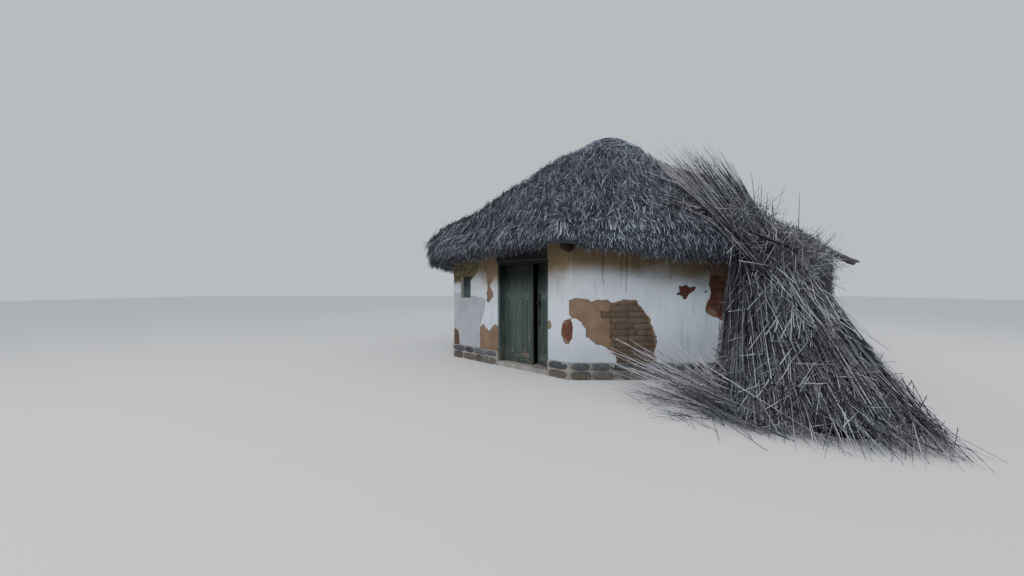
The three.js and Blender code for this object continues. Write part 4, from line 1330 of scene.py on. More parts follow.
HINGE_Y = -WALL_FACE + 0.150 + 0.040 + 0.020
LEFT_AXIS, RIGHT_AXIS = DOORWAY_LEFT + 0.024, DOORWAY_RIGHT - 0.024
LEAF_SPLIT, HALF_GAP, AJAR = 0.630, 0.005, math.radians(-15)
LEAF_LOW, LEAF_HIGH = 0.102, 1.949
# Lower and upper edges of each rail and of each strap hinge.
RAILS = ((LEAF_LOW, 0.300), (1.270, 1.440), (1.800, LEAF_HIGH))
HINGES = ((0.3803, 0.4163), (1.6403, 1.6763))
STILE, BOARD_BACK, BOARD_THICK, LEAF_THICK, HINGE_BACK = 0.080, 0.010, 0.024, 0.040, 0.020


def plank(bundle, low, high, rng, place, edge=0.003, wobble=0.0012, sections=10):
    """A board between two corners: a rectangle with cut corners, carried along its longest side.

    Its sections waver by `wobble`, and its first and last are smaller by `edge`, so the ends are rounded.
    """
    low, high = np.array(low, float), np.array(high, float)
    size = high - low
    axis = int(np.argmax(size))
    u, v = ((1, 2), (2, 0), (0, 1))[axis]
    a, b = size[u] / 2, size[v] / 2
    e = min(edge, a * 0.4, b * 0.4)
    ring = np.array([
        (-a + e, -b), (a - e, -b), (a, -b + e), (a, b - e),
        (a - e, b), (-a + e, b), (-a, b - e), (-a, -b + e),
    ])
    tip = e / size[axis]
    steps = np.concatenate([[0, tip], np.linspace(0.1, 0.9, sections - 4), [1 - tip, 1]])
    at_end = np.isin(np.arange(len(steps)), (0, len(steps) - 1))[:, None, None]
    rings = np.zeros((len(steps), 8, 3))
    waver = rng.normal(0, wobble, (len(steps), 8, 2)) * np.array([1.0, 0.5])
    flat = ring * (1 - at_end * e / np.array([a, b])) - np.abs(waver) * np.sign(ring)
    rings[..., u] = (low[u] + high[u]) / 2 + flat[..., 0]
    rings[..., v] = (low[v] + high[v]) / 2 + flat[..., 1]
    rings[..., axis] = low[axis] + steps[:, None] * size[axis]
    bundle.add_rings(rings, rng.uniform(0, 1), 0.0 if axis == 2 else 1.0, place)


def knob(bundle, middle, radius, high, place, tone=0.5):
    """A nail head or boss that stands off a face towards -y: a small dome of three rings."""
    turn = np.arange(8) * TAU / 8
    c, s = np.cos(turn), np.sin(turn)
    dome = ((1.0, -0.4), (1.0, 0.3), (0.75, 0.8), (0.3, 1.0))
    rings = [middle + np.stack([radius * k * c, -high * h + 0 * c, radius * k * s], -1) for k, h in dome]
    bundle.add_rings(np.array(rings), tone, 0.0, place)


def at_door_wall(points):
    """Points of the door wall's frame at their place."""
    return turned(points, DOOR_WALL)


def on_leaf(points, axis_x, side, angle):
    """Points of a leaf's own frame, where x runs from its axis to its free edge, at their place."""
    c, s = math.cos(angle), math.sin(angle)
    x, y = points[:, 0] * side, points[:, 1]
    return at_door_wall(np.stack([x * c - y * s + axis_x, x * s + y * c + HINGE_Y, points[:, 2]], -1))


def door_leaf(name, node, body, axis_x, side, angle, width, board_edges, finish):
    """A leaf: boards behind two stiles and three rails, with nails, strap hinges and their eyes."""
    bundle = Bundle("tone", "grain")
    rng = np.random.default_rng(500 + (side > 0))
    outer = -HINGE_BACK - LEAF_THICK
    near = 0.006
    back = outer + BOARD_BACK

    def place(points):
        return on_leaf(points, axis_x, side, angle)

    def add(x0, x1, y0, y1, z0, z1, **more):
        plank(bundle, (x0, y0, z0), (x1, y1, z1), rng, place, **more)

    for a, b in zip(board_edges, board_edges[1:]):
        add(a + 0.0012, b - 0.0012, back, back + BOARD_THICK, LEAF_LOW + 0.010, LEAF_HIGH - 0.010)
    add(near, near + STILE, outer, -HINGE_BACK, LEAF_LOW, LEAF_HIGH)
    add(width - STILE, width, outer, -HINGE_BACK, LEAF_LOW, LEAF_HIGH)
    for low, high in RAILS:
        add(near + STILE - 0.002, width - STILE + 0.002, outer + 0.0008, -HINGE_BACK - 0.0008, low, high)
    for low, high in HINGES:
        add(near + 0.002, width * 0.62, -HINGE_BACK - 0.001, -HINGE_BACK + 0.006, low, high)
        add(0.010, near + 0.014, -HINGE_BACK, 0.006, low, high, sections=6)
        eye(bundle, low, high, place)
    for low, high in RAILS:
        for x in board_edges[1:-1]:
            for shift in (-0.03, 0.03):
                spot = (x + shift, outer + 0.001, (low + high) / 2 + rng.normal(0, 0.01))
                knob(bundle, spot, 0.0045, 0.003, place, 0.0)
    piece = bundle.mesh(name, shade_smooth=False)
    if side < 0:
        turn_faces(piece)
    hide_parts(node)
    dress(piece, finish, body)


def eye(bundle, low, high, place):
    """A hinge's eye: a short pipe round the axis, closed at both ends by its own wall."""
    around = 14
    circle = polar(1, np.arange(around) * TAU / around, 0)
    shape = ((0.0087, low), (0.014, low), (0.014, high), (0.0087, high))
    rings = np.stack([circle * r + np.array([0, 0, z]) for r, z in shape])
    points = rings.reshape(-1, 3)
    bundle.add(place(points), [loop_quads(len(shape), around)], np.tile([0.3, 0.0], (len(points), 1)))


def turn_faces(piece):
    """Turns every face over, for a shape that was built mirrored."""
    mesh = bmesh.new()
    mesh.from_mesh(piece.data)
    bmesh.ops.reverse_faces(mesh, faces=mesh.faces)
    mesh.to_mesh(piece.data)
    mesh.free()


def paint_finish(settings):
    """Old green paint: streaks along each board's grain, bleached patches, wood where it has worn off, and
    painted shade over the upper part.
    """
    s = Shader("Old green paint")
    upright = s.noise(14, 6, 0.65, s.place((3, 3, 0.16)), 0.4)
    level = s.noise(14, 6, 0.65, s.place((0.25, 0.25, 3)), 0.4)
    streak = s.blend(s.value("grain"), upright, level, kind="FLOAT")
    height = s.coordinate("Z")
    worn = s.plus(streak, s.times(s.noise(5, 5), 0.9))
    worn = s.plus(worn, s.band(height, 0.75, 0.1, 0, 0.16))
    cracks = s.band(s.noise(60, 3, 0.6, s.place((3, 3, 0.12))), 0.28, 0.36)
    base = s.coats(
        settings.paint,
        (s.band(streak, 0.3, 0.7), settings.faded),
        (s.times(s.value("tone"), 0.45), shade(settings.paint, 0.55)),
        (s.band(worn, 1.13, 1.20, 0, 0.7), settings.bare),
        # Painted shade: the paint darkens to near black over the upper part, under the eave.
        (s.band(height, 1.34, 1.82, 0, 0.93), (0.007, 0.008, 0.007)),
        (s.times(s.minus(1.0, cracks), 0.5), (0.01, 0.012, 0.01)),
    )
    relief = s.plus(s.times(streak, 0.6), s.times(cracks, 0.5))
    return s.finish(base, s.band(worn, 0.9, 1.15, 0.55, 0.85), relief, 0.6, 0.003)


def limb(bundle, path, radius, tip, seed, tone=0.5, around=14, knots=0.07):
    """A pole: circles carried along a path, square to it, with both ends drawn in.

    Their radius falls evenly from radius to tip, and noise makes it uneven by the share knots.
    """
    radii = np.linspace(radius, tip, len(path))
    radii[[0, -1]] *= (0.8, 0.72)
    ahead = unit(np.gradient(path, axis=0))
    side = unit(np.cross(ahead, [0.1, 0.2, 1.0]))
    other = np.cross(ahead, side)
    spoke = spokes(side, other, around)
    rough = 1 + knots * ripple(path[:, None] + spoke * radii[:, None, None], 0.16, seed)
    rings = path[:, None] + spoke * (radii[:, None] * rough)[..., None]
    if np.dot(np.cross(side[0], other[0]), ahead[0]) < 0:
        rings = rings[:, ::-1]
    bundle.add_rings(rings, tone, 0.0)


def line(start, end, count):
    """Even steps from one point to another."""
    return np.linspace(0, 1, count)[:, None] * (np.array(end, float) - start) + start


WORN_HIP = -math.pi / 8
SLOPE_LATH = np.array([(1.85, -3.52, 2.61), (3.0, -2.74, 2.42), (4.18, -1.96, 2.33)])


def hip(radius, z):
    """A point under the worn hip of the roof, at a radius and a height."""
    return polar(radius, WORN_HIP, z)


class HUT_OT_woodwork(Operator):
    """Make the door's leaves, the boards over it and in the window, the bolt and the poles."""

    bl_idname = "hut.woodwork"
    bl_label = "Woodwork"

    def execute(self, context):
        settings = context.scene.hut_wood
        paint = paint_finish(settings)
        left_width = LEAF_SPLIT - HALF_GAP - LEFT_AXIS
        right_width = RIGHT_AXIS - LEAF_SPLIT - HALF_GAP
        left_edges = [0.046, 0.156, 0.311, 0.466, 0.606, left_width - 0.040]
        right_edges = [0.046, 0.19, 0.31, right_width - 0.040]
        left = (LEFT_AXIS, 1, 0.0, left_width, left_edges, paint)
        right = (RIGHT_AXIS, -1, AJAR, right_width, right_edges, paint)
        door_leaf("left_leaf_boards", "left_leaf", "left_door", *left)
        door_leaf("right_leaf_boards", "right_leaf", "right_door", *right)
        # These boards and the door head are near black: painted shade for the deep shade over the doorway
        # under the eave.
        shaded = wood_material("Board in painted shade", (0.006, 0.006, 0.007), (0.022, 0.020, 0.020), (1.5, 1.5, 14))
        repaint(paint, "door_jamb_left", "door_jamb_right")
        # The door head takes the same painted shade.
        repaint(shaded, "door_head")
        self.lintel(shaded)
        self.window(paint)
        self.poles(settings)
        iron = Shader("Dull iron")
        rust = iron.noise(26, 5, 0.7)
        base = iron.blend(iron.band(rust, 0.45, 0.7), (0.035, 0.034, 0.036), (0.13, 0.065, 0.035))
        iron.finish(base, iron.band(rust, 0.4, 0.7, 0.45, 0.85), rust, 0.4, 0.002, metallic=0.7)
        repaint(iron.material, "door_lock")
        self.bolt(iron.material)
        return {"FINISHED"}

    def bolt(self, iron):
        """Two flat bars and a hasp below the lock plate, on the small leaf's outer face."""
        bundle = Bundle("tone", "grain")
        rng = np.random.default_rng(550)
        face = -HINGE_BACK - LEAF_THICK

        def place(points):
            return on_leaf(points, RIGHT_AXIS, -1, AJAR)

        for x0, x1, z0, z1, thick in (
            (0.370, 0.376, 1.000, 1.128, 0.007), (0.396, 0.402, 1.000, 1.128, 0.007),
            (0.366, 0.406, 0.985, 1.005, 0.005), (0.374, 0.398, 0.800, 0.960, 0.012),
            (0.368, 0.404, 0.840, 0.856, 0.016), (0.368, 0.404, 0.915, 0.931, 0.016),
        ):
            low, high = (x0, face - thick, z0), (x1, face + 0.001, z1)
            plank(bundle, low, high, rng, place, edge=0.0015, wobble=0.0004, sections=6)
        piece = bundle.mesh("door_bolt")
        turn_faces(piece)
        dress(piece, iron, "right_door")

    def lintel(self, finish):
        """Boards over the doorway, nailed flat on the wall up to the eave, near black with painted shade."""
        bundle = Bundle("tone", "grain")
        rng = np.random.default_rng(560)
        heights = (DOORWAY_TOP + 0.002, DOORWAY_TOP + 0.105, DOORWAY_TOP + 0.215, WALL_SKIN_TOP)
        for low, high in zip(heights, heights[1:]):
            left, right = DOORWAY_LEFT - rng.uniform(0.005, 0.03), DOORWAY_RIGHT + rng.uniform(0.0, 0.012)
            low_corner = (left, -WALL_FACE - 0.030, low)
            plank(bundle, low_corner, (right, -WALL_FACE + 0.004, high - 0.003), rng, at_door_wall)
        piece = bundle.mesh("lintel_boards", shade_smooth=False)
        dress(piece, finish)

    def window(self, paint):
        """The window's four fixed boards, on two cross rails."""
        bundle = Bundle("tone", "grain")
        rng = np.random.default_rng(540)
        low, high = WINDOW_LOW, WINDOW_HIGH
        edges = np.linspace(low[0], high[0], 5)
        for a, b in zip(edges, edges[1:]):
            drop = rng.uniform(0, 0.008)
            foot = (a + 0.002, low[1] + 0.002, low[2] + drop)
            plank(bundle, foot, (b - 0.002, high[1] - 0.006, high[2] - drop), rng, at_door_wall)
        for z in (low[2] + 0.06, high[2] - 0.11):
            foot = (low[0] + 0.01, high[1] - 0.012, z)
            plank(bundle, foot, (high[0] - 0.01, high[1], z + 0.05), rng, at_door_wall)
        piece = bundle.mesh("window_boards", shade_smooth=False)
        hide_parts("window_shutter")
        dress(piece, paint)

    def poles(self, settings):
        """The rafters' finish, the forked pole with thin sticks at the worn corner, the lath and the beam."""
        wood = wood_material("Weathered pole", shade(settings.pole, 0.5), shade(settings.pole, 1.8))
        repaint(wood, *[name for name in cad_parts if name.startswith("rafter_")])
        bundle = Bundle()
        limb(bundle, line(hip(3.8, 2.8), hip(5.1, 2.02), 26), 0.078, 0.066, 601)
        limb(bundle, line(hip(4.76, 2.215), (4.96, -1.76, 2.06), 12), 0.044, 0.03, 602)
        rng = np.random.default_rng(610)
        for i in range(13):
            angle = WORN_HIP + rng.uniform(-0.16, 0.10)
            radius = rng.uniform(3.3, 4.2)
            foot = roof_point(np.array([angle]), np.array([radius]))[0] - (0, 0, 0.05)
            lean = rng.normal(0, 0.07, 2)
            tip = foot + np.array([lean[0], lean[1], 1.0]) * rng.uniform(0.35, 1.15)
            limb(bundle, line(foot, tip, 5), 0.012, 0.006, 611 + i, around=5)
        piece = bundle.mesh("forked_pole")
        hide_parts("exposed_pole")
        grey = wood_material("Grey pole", (0.020, 0.019, 0.021), (0.085, 0.080, 0.081))
        dress(piece, grey)
        bundle = Bundle()
        limb(bundle, along_line(SLOPE_LATH, np.linspace(0, 1, 24)), 0.026, 0.021, 604, around=8)
        piece = bundle.mesh("lath_on_slope")
        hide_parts("thatch_lath")
        dress(piece, grey)
        beam = node_points("eave_beam")
        reach = np.hypot(beam[:, 0], beam[:, 1])
        inner = beam[reach < reach.mean()].mean(0)
        outer = beam[reach > reach.mean()].mean(0)
        radius = (beam[:, 2].max() - beam[:, 2].min()) / 2
        bundle = Bundle()
        middle_line = line(inner + (0, 0, 0.02), outer + (0, 0, 0.02), 9)
        limb(bundle, middle_line, radius * 1.1, radius * 1.1, 603, around=8)
        piece = bundle.mesh("beam_end")
        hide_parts("eave_beam")
        dark = wood_material("Dark beam", (0.012, 0.007, 0.005), (0.042, 0.025, 0.019), (2, 9, 9))
        dress(piece, dark)


# Reeds that have slid down

class ReedSettings(PropertyGroup):
    """Counts, width and colours of the loose reeds."""

    flow: IntProperty(name="Long reeds", description="Reeds that run down the heap", default=4300, min=100)
    cross: IntProperty(name="Crossing reeds", description="Reeds that lie across it", default=3000, min=100)
    sheaf: IntProperty(name="Sheaf reeds", description="Reeds of the sheaf above it", default=1150, min=100)
    slump: IntProperty(
        name="Hanging reeds", description="Reeds that hang off the worn corner", default=2500, min=100,
    )
    width: FloatProperty(
        name="Reed width", description="Mean width of a loose reed", default=0.0098, unit="LENGTH",
    )
    dark: FloatVectorProperty(
        name="Dark reed", description="Darkest loose reed", default=(0.013, 0.013, 0.017), subtype="COLOR",
    )
    pale: FloatVectorProperty(
        name="Pale reed", description="Palest loose reed", default=(0.60, 0.60, 0.66), subtype="COLOR",
    )


# Counts of the smaller groups of loose reeds, in the order of the functions that lay them.
PINCHED, TANGLED, BY_EAVE, LEANING, STREWN, STRAYS, SHORT, SLIDING = 640, 360, 620, 150, 180, 170, 420, 520
PINCH = np.array([1.20, -4.40, 1.98])
FOOT_LINE = np.array([
    (0.58, -4.45), (0.35, -4.75), (0.15, -5.15), (0.03, -5.56), (0.16, -6.00), (0.46, -6.34), (0.82, -6.56),
    (1.20, -6.60), (1.48, -6.60), (1.52, -6.30), (1.52, -5.60), (1.50, -4.90), (1.48, -4.40),
])
# Rows of the heap's inside, as y, its left and right in x, and its height.
HEAP_ROWS = np.array([
    (-6.22, 0.92, 1.14, 0.02), (-6.10, 0.70, 1.20, 0.09), (-5.90, 0.50, 1.28, 0.28),
    (-5.56, 0.36, 1.36, 0.60), (-5.15, 0.42, 1.40, 0.94), (-4.70, 0.74, 1.38, 1.30),
    (-4.30, 0.94, 1.38, 1.66),
])
HEAP_SHAPE = np.array([
    (0.00, 0.00), (1.00, 0.00), (0.99, 0.55), (0.92, 0.82), (0.74, 0.93), (0.52, 0.86),
    (0.30, 0.66), (0.12, 0.32),
])
# The eave's edge over the heap, the heap's upright axis, and how its reeds arch from left to right.
EAVE_EDGE = np.array([(1.55, -4.42, 2.04), (3.40, -2.88, 1.96)])
HEAP_AXIS = np.array([1.0, -5.1, 0.0])
HEAP_ARCH = [0, 0.2, 0.4, 0.6, 0.75, 1], [0.04, 0.06, 0.12, 0.04, 0.0, 0.0]


def scattered(rng, count, *sizes):
    """Offsets about zero, spread by a size for each of x, y and z."""
    return rng.normal(0, 1, (count, 3)) * sizes


def off_ground(start, way, length):
    """The starts, raised where a stalk's lower end would touch the ground."""
    low = np.minimum(start[:, 2], start[:, 2] + way[:, 2] * length)
    return start + np.maximum(0, 0.008 - low)[:, None] * (0, 0, 1)


def lay(bundle, settings, rng, start, way, length, wide, tones, bend=None, taper=0.4, seed=1):
    """Loose stalks: wide is the range of their widths' gain, and tones the two powers of a beta draw."""
    width = settings.width * rng.uniform(*wide, len(start))
    tone = rng.beta(*tones, len(start))
    segments = 1 if bend is None else 2
    bundle.add(*stalks(start, way, length, width, tone, bend, segments, taper, seed=seed))


def heap_body():
    """The heap's inside, dark with painted shade: eight-cornered sections from its toe to the eave, scaled
    row by row.
    """
    y, left, right, high = (HEAP_ROWS[:, i, None] for i in range(4))
    x = left + (right - left) * HEAP_SHAPE[None, :, 0]
    z = high * HEAP_SHAPE[None, :, 1]
    rings = np.stack([x, y + 0 * x, z], -1)
    rings += 0.03 * ripple(rings, 0.5, 71)[..., None] * np.array([1, 1, 0])
    return rings[:, ::-1]


def heap_reeds(bundle, settings, rng):
    """Long reeds: each follows part of a line from the pinch to the foot, raised off it as a shallow arch.

    The line's point at share s is top + (foot - top) * s, plus out * arch * 4 * s * (1 - s).
    """
    n = settings.flow
    share = rng.beta(1.1, 1.15, n)
    foot = along_line(FOOT_LINE, np.clip(share + rng.normal(0, 0.07, n), 0.0, 1.0))
    foot = np.concatenate([foot + rng.normal(0, 0.04, (n, 2)), rng.uniform(0.0, 0.06, (n, 1))], 1)
    top = PINCH + np.stack([
        np.clip(np.interp(share, [0, 0.5, 1], [-0.31, 0.0, 0.28]) + rng.normal(0, 0.14, n), -0.39, 0.42),
        rng.normal(0, 0.07, n) + np.interp(share, [0, 0.6, 1], [0.10, 0.0, 0.12]),
        rng.normal(0, 0.10, n) - np.interp(share, [0, 0.4, 1], [0.05, 0.0, 0.05]),
    ], -1)
    whole = foot - top
    reach = np.linalg.norm(whole, axis=1)
    length = rng.uniform(0.8, 2.0, n)
    begin = rng.uniform(-0.06, 1, n) * np.maximum(0, 1 - length / reach)
    finish = np.minimum(begin + length / reach, 1.0)
    outward = unit((foot - HEAP_AXIS) * (1, 1, 0) + (0, 0, 0.75))
    arch = np.interp(share, *HEAP_ARCH) * rng.uniform(0.0, 1.15, n)

    def spot(s):
        return top + whole * s[:, None] + outward * (arch * 4 * s * (1 - s))[:, None]

    a, m, b = spot(begin), spot((begin + finish) / 2), spot(finish)
    bend = 2 * (a + b - 2 * m)
    way = (b - a) - bend
    size = np.linalg.norm(way, axis=1)
    tone = rng.beta(0.55, 1.40, n) * (0.35 + 0.65 * smooth(0.04, 0.34, begin))
    width = settings.width * rng.uniform(0.5, 1.35, n)
    bundle.add(*stalks(a, way / size[:, None], size, width, tone, bend, 2, 0.45, seed=81))


def pinched_reeds(bundle, settings, rng):
    """Paler reeds on the heap's top, just under the eave, crossed on both sides of the fall line."""
    n = PINCHED
    foot = np.concatenate([along_line(FOOT_LINE, rng.uniform(0.0, 0.80, n)), np.zeros((n, 1))], 1)
    top = PINCH + scattered(rng, n, 0.10, 0.03, 0.04) + (-0.03, -0.20, -0.12)
    outward = unit(foot - HEAP_AXIS + (0, 0, 0.5))
    fall = unit(foot - top)
    beside = unit(np.cross(fall, outward))
    turn = rng.uniform(-0.62, 0.62, n)
    way = unit(swung(fall, beside, turn))
    middle = top + (foot - top) * rng.uniform(0.02, 0.38, n)[:, None]
    middle += outward * rng.uniform(0.07, 0.19, n)[:, None]
    length = rng.uniform(0.45, 1.15, n)
    start = middle - way * (length * 0.35)[:, None]
    lay(bundle, settings, rng, start, way, length, (0.6, 1.15), (1.0, 0.8), seed=90)


def crossing_reeds(bundle, settings, rng):
    """Shorter reeds that lie over the heap at all angles near its fall line."""
    n = settings.cross
    share = rng.uniform(0, 1, n)
    foot = np.concatenate([along_line(FOOT_LINE, share), np.zeros((n, 1))], 1)
    s = rng.beta(2.2, 1.1, n)
    outward = unit(foot - HEAP_AXIS + (0, 0, 0.5))
    rise = np.interp(share, *HEAP_ARCH) * 4 * s * (1 - s) + rng.uniform(-0.02, 0.06, n)
    middle = PINCH + (foot - PINCH) * s[:, None] + outward * rise[:, None]
    fall = unit(foot - PINCH)
    beside = unit(np.cross(fall, outward))
    turn = rng.normal(0, 0.70, n)
    way = unit(swung(fall, beside, turn) + outward * rng.normal(0, 0.10, n)[:, None])
    length = rng.uniform(0.25, 0.95, n)
    start = off_ground(middle - way * (length / 2)[:, None], way, length)
    lay(bundle, settings, rng, start, way, length, (0.5, 1.15), (0.8, 1.4), seed=82)


def tangled_reeds(bundle, settings, rng):
    """The tangle under the eave, where the heap starts, and along the eave to the worn corner."""
    n = TANGLED
    spot = PINCH + scattered(rng, n, 0.15, 0.07, 0.15) + (0.04, -0.05, 0.06)
    along = BY_EAVE
    share = rng.beta(1.0, 1.5, along)[:, None]
    edge = EAVE_EDGE[0] * (1 - share) + EAVE_EDGE[1] * share
    edge += scattered(rng, along, 0.06, 0.06, 0.11) + (0.02, -0.05, 0.0)
    spot = np.concatenate([spot, edge])
    n += along
    way = unit(scattered(rng, n, 0.8, 0.45, 1.0))
    length = rng.uniform(0.2, 0.7, n)
    bend = rng.normal(0, 0.05, (n, 3))
    start = spot - way * (length / 2)[:, None]
    lay(bundle, settings, rng, start, way, length, (0.5, 1.1), (1.0, 1.3), bend, seed=86)


def low_reeds(bundle, settings, rng):
    """Loose reeds at the heap's left foot: long ones that lean to the wall, and short ones strewn below."""
    n = LEANING
    start = (0.16, -5.80, 0.0) + scattered(rng, n, 0.22, 0.30, 0.0)
    start[:, 2] = rng.uniform(0.008, 0.10, n)
    aim = np.stack([rng.uniform(-1.35, 0.3, n), rng.uniform(-4.9, -3.98, n), rng.uniform(0.25, 0.90, n)], -1)
    whole = aim - start
    reach = np.linalg.norm(whole, axis=1)
    length = reach * rng.uniform(0.7, 1.0, n)
    bend = rng.normal(0, 0.03, (n, 3)) + (0, 0, -0.05)
    lay(bundle, settings, rng, start, whole / reach[:, None], length, (0.7, 1.1), (1.6, 0.9), bend, seed=83)
    n = STREWN
    near = rng.beta(1.0, 1.7, n)
    y = rng.uniform(-5.7, -4.55, n)
    z = 0.02 + rng.uniform(0, 0.34, n) * (1 - near) ** 1.4
    spot = np.stack([0.30 - 1.25 * near, y, z], -1)
    turn = rng.normal(2.4, 0.75, n)
    way = unit(np.stack([np.cos(turn), np.sin(turn), rng.normal(0.10, 0.16, n)], -1))
    length = rng.uniform(0.25, 0.95, n)
    start = off_ground(spot - way * (length / 2)[:, None], way, length)
    lay(bundle, settings, rng, start, way, length, (0.6, 1.1), (1.2, 1.0), seed=87)


SHEAF_LINE = np.array([
    (1.25, -5.33, 1.09), (1.21, -4.96, 1.52), (1.12, -4.66, 2.06), (0.92, -4.365, 2.564), (0.70, -3.99, 3.25),
    (0.52, -3.56, 3.93),
])
DARK_LATH = np.array([(0.67, -4.98, 2.22), (1.30, -4.80, 2.04), (2.28, -3.91, 2.08), (3.14, -3.13, 2.10)])
SHEAF_DEEP = (0.06, 0.095, 0.105, 0.10, 0.07, 0.04)
SHEAF_FAN = (0.16, 0.22, 0.28, 0.33, 0.40, 0.46)
SHEAF_SHIFT = (0.0, -0.04, -0.07, -0.06, -0.06, -0.08)


def sheaf_reeds(bundle, settings, rng):
    """Reeds of the sheaf: from a narrow neck at its foot they fan out towards their tips, most to the left.

    Each runs from share a of the sheaf's middle line to share b, and its place across grows with the share.
    """
    n = settings.sheaf
    fan, deep = rng.uniform(-1, 1, n), rng.uniform(-1, 1, n)
    a = rng.beta(1.0, 2.2, n) * 0.60
    b = np.minimum(a + rng.uniform(0.30, 0.80, n), rng.uniform(0.66, 1.0, n))
    rungs = np.linspace(0, 1, len(SHEAF_DEEP))

    def spot(share, spread):
        middle = along_line(SHEAF_LINE, share)
        wide = np.interp(share, rungs, SHEAF_FAN) * spread + np.interp(share, rungs, SHEAF_SHIFT)
        thick = np.interp(share, rungs, SHEAF_DEEP) * deep[: len(share)]
        return middle + np.stack([wide, -thick * 0.82, -thick * 0.57], -1)

    start = spot(a, fan * 0.8 + rng.normal(0, 0.22, n))
    far = fan + np.minimum(rng.normal(0, 0.24, n), 0.12)
    end = spot(b, far) + rng.normal(0, 0.05, (n, 3)) * b[:, None] ** 3
    way = end - start
    length = np.linalg.norm(way, axis=1)
    bend = rng.normal(0, 0.02, (n, 3))
    way = way - bend
    lay(bundle, settings, rng, start, unit(way), length, (0.5, 1.25), (0.40, 1.9), bend, 0.55, 84)
    stray = STRAYS
    root = spot(rng.uniform(0.25, 0.6, stray), rng.uniform(-0.9, 0.9, stray))
    aim = spot(rng.uniform(0.75, 1.0, stray), rng.uniform(-2.1, 0.6, stray)) + (0.0, 0.0, 0.06)
    way = aim - root
    length = np.linalg.norm(way, axis=1) * rng.uniform(0.7, 1.0, stray)
    lay(bundle, settings, rng, root, unit(way), length, (0.6, 1.0), (1.2, 1.2), None, 0.6, 88)
    n = SHORT
    spot = along_line(SHEAF_LINE, rng.uniform(0.20, 0.62, n)) + scattered(rng, n, 0.20, 0.03, 0.06)
    spot += (0.02, -0.11, -0.07)
    way = unit(scattered(rng, n, 0.9, 0.35, 1.0))
    length = rng.uniform(0.2, 0.75, n)
    bend = rng.normal(0, 0.06, (n, 3))
    start = spot - way * (length / 2)[:, None]
    lay(bundle, settings, rng, start, way, length, (0.5, 1.05), (0.9, 1.2), bend, seed=89)
    limb(bundle, along_line(DARK_LATH, np.linspace(0, 1, 14)), 0.016, 0.011, 901, 0.0, 7)


def sliding_reeds(bundle, settings, rng):
    """Long reeds that lie loose on the slope beside the sheaf, turned from its fall towards their foot."""
    n = SLIDING
    angle = np.radians(-98 + 30 * rng.beta(1.5, 0.9, n))
    here, down, across, out = roof_axes(angle, rng.uniform(1.9, 4.50, n))
    turn = rng.normal(0.30, 0.20, n)
    way = unit(swung(down, across, turn) + out * rng.uniform(-0.02, 0.10, n)[:, None])
    length = rng.uniform(0.40, 1.05, n)
    start = here - way * (length * 0.4)[:, None] + out * rng.uniform(0.01, 0.05, n)[:, None]
    lay(bundle, settings, rng, start, way, length, (0.6, 1.1), (0.7, 1.1), seed=92)


def hanging_reeds(bundle, settings, rng):
    """Reeds that hang off the eave at the worn corner, thick at the top and ragged below."""
    n = settings.slump
    share = rng.uniform(0, 1, n)
    angle = np.radians(-50 + 32 * share)
    radius = 4.24 + 0.54 * rng.beta(1.3, 1.1, n)
    top = rng.uniform(1.15, 2.20, n)
    ragged = 0.78 + 0.42 * np.abs(2 * share - 0.55)
    low = np.maximum(ragged, top - rng.uniform(0.35, 1.15, n))
    start = polar(radius * octagon(angle), angle, top)
    foot_angle = angle + rng.normal(0, 0.03, n)
    foot_radius = radius - 0.10 * (2.1 - low) + rng.normal(0, 0.06, n)
    foot = polar(foot_radius * octagon(foot_angle), foot_angle, low)
    way = foot - start
    length = np.linalg.norm(way, axis=1)
    bend = rng.normal(0, 0.03, (n, 3)) * np.array([1, 1, 0.2])
    lay(bundle, settings, rng, start, unit(way), length, (0.6, 1.2), (0.9, 1.3), bend, 0.5, 85)


class HUT_OT_reeds(Operator):
    """Spread the reeds that have slid off the roof: the heap, the sheaf over it and the hanging corner."""

    bl_idname = "hut.reeds"
    bl_label = "Loose reeds"

    def execute(self, context):
        settings = context.scene.hut_reeds
        finish = reed_material("Loose reed", settings.dark, settings.pale, (0.88, 0.80, 0.76))
        rng = np.random.default_rng(701)
        bundle = Bundle()
        # The heap's inside takes the darkest tone and value along: painted shade among the loose reeds.
        bundle.add_rings(heap_body(), 0.0, 0.0)
        heap_reeds(bundle, settings, rng)
        crossing_reeds(bundle, settings, rng)
        pinched_reeds(bundle, settings, rng)
        tangled_reeds(bundle, settings, rng)
        low_reeds(bundle, settings, rng)
        heap = bundle.mesh("slid_reeds", shade_smooth=False)
        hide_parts("reed_heap")
        dress(heap, finish)
        bundle = Bundle()
        sheaf_reeds(bundle, settings, rng)
        sliding_reeds(bundle, settings, rng)
        sheaf = bundle.mesh("leaning_reeds", shade_smooth=False)
        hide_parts("reed_sheaf")
        dress(sheaf, finish)
        bundle = Bundle()
        hanging_reeds(bundle, settings, rng)
        hanging = bundle.mesh("hanging_reeds", shade_smooth=False)
        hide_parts("slumped_thatch")
        dress(hanging, finish)
        return {"FINISHED"}


# Stage

class StageSettings(PropertyGroup):
    """The floor's colour and the sky's strength."""

    floor: FloatVectorProperty(
        name="Floor colour", description="Colour of the plain floor",
        default=(0.72, 0.72, 0.71), subtype="COLOR",
    )
    light: FloatProperty(name="Sky light", description="Strength of the plain sky", default=0.9, min=0)


EYE = (-2.48, -10.02, 1.5)
FOCAL_PIXELS = 385
PHOTO_WIDTH = 1024
SENSOR = 36
FLOOR_REACH = 60.0
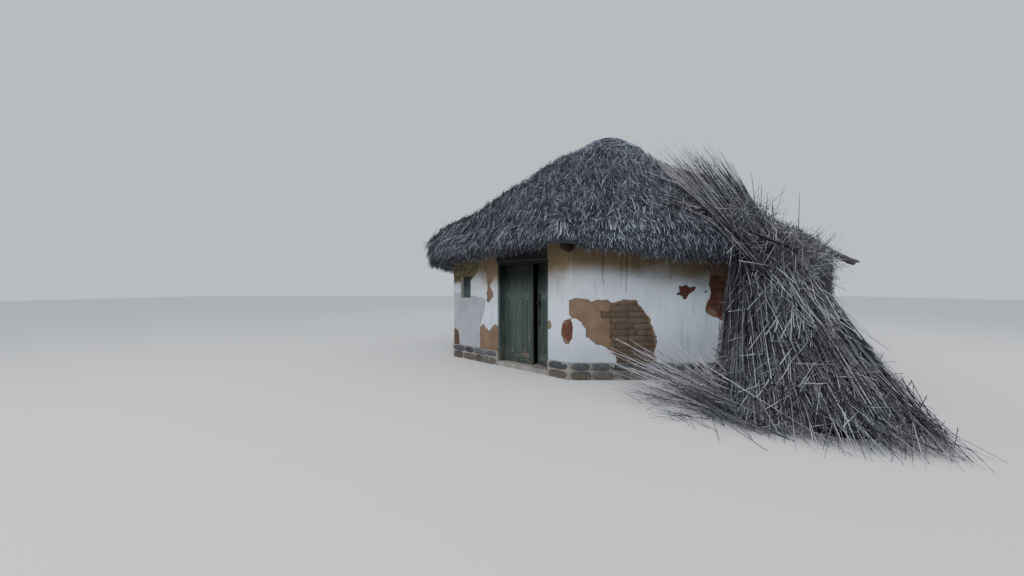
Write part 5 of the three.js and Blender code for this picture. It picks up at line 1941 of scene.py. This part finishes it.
# Each lamp's name, place, target, size and power.
LAMPS = (
    ("key", (-9, -13, 11), (0, 0, 1.5), 7, 1300),
    ("fill", (11, -9, 7), (0, 0, 1.5), 8, 500),
    ("rim", (4, 13, 10), (0, 0, 2.5), 8, 500),
)


class HUT_OT_stage(Operator):
    """Set the floor, the soft light and the camera at the photograph's place."""

    bl_idname = "hut.stage"
    bl_label = "Stage"

    def execute(self, context):
        settings = context.scene.hut_stage
        corners = np.array([(-1, -1, 0), (1, -1, 0), (1, 1, 0), (-1, 1, 0)]) * FLOOR_REACH
        floor = put_mesh("stage_floor", corners, [np.array([[0, 1, 2, 3]])])
        s = Shader("Stage floor")
        floor.data.materials.append(s.finish(settings.floor, 0.9))
        world = bpy.data.worlds.new("Soft sky")
        world.use_nodes = True
        sky = world.node_tree.nodes["Background"].inputs
        sky["Color"].default_value = (0.80, 0.86, 0.95, 1)
        sky["Strength"].default_value = settings.light
        context.scene.world = world
        for values in LAMPS:
            lamp(*values)
        camera = bpy.data.cameras.new("Camera")
        camera.sensor_width = SENSOR
        camera.lens = SENSOR * FOCAL_PIXELS / PHOTO_WIDTH
        camera.clip_end = 300
        holder = bpy.data.objects.new("Camera", camera)
        holder.location = EYE
        holder.rotation_euler = (math.pi / 2, 0, 0)
        context.scene.collection.objects.link(holder)
        context.scene.camera = holder
        return {"FINISHED"}


def lamp(name, place, target, size, power):
    """A square soft light that faces its target."""
    light = bpy.data.lights.new(name, "AREA")
    light.size = size
    light.energy = power
    holder = bpy.data.objects.new(name, light)
    holder.location = place
    x, y, z = np.array(target, float) - place
    holder.rotation_euler = (math.atan2(math.hypot(x, y), -z), 0, math.atan2(x, -y) + math.pi)
    bpy.context.scene.collection.objects.link(holder)


class HUT_PT_panel(Panel):
    """Buttons for each piece of the hut."""

    bl_label = "Hut"
    bl_idname = "HUT_PT_panel"
    bl_space_type = "VIEW_3D"
    bl_region_type = "UI"
    bl_category = "Hut"

    def draw(self, context):
        for operator in OPERATORS:
            self.layout.operator(operator.bl_idname)


SETTINGS = {
    "hut_thatch": ThatchSettings,
    "hut_walls": WallSettings,
    "hut_plinth": PlinthSettings,
    "hut_wood": WoodSettings,
    "hut_reeds": ReedSettings,
    "hut_stage": StageSettings,
}
OPERATORS = [
    HUT_OT_thatch, HUT_OT_crown, HUT_OT_walls, HUT_OT_plinth, HUT_OT_woodwork, HUT_OT_reeds, HUT_OT_stage,
]


def register():
    """Adds the settings, operators and panel to Blender."""
    for cls in [*SETTINGS.values(), *OPERATORS, HUT_PT_panel]:
        bpy.utils.register_class(cls)
    for name, cls in SETTINGS.items():
        setattr(bpy.types.Scene, name, PointerProperty(type=cls))


def unregister():
    """Takes them out again."""
    for name in SETTINGS:
        delattr(bpy.types.Scene, name)
    for cls in [HUT_PT_panel, *reversed(OPERATORS), *reversed(list(SETTINGS.values()))]:
        bpy.utils.unregister_class(cls)


def main():
    """Builds every piece."""
    register()
    for operator in OPERATORS:
        group, name = operator.bl_idname.split(".")
        getattr(getattr(bpy.ops, group), name)()


if __name__ == "__main__":
    main()
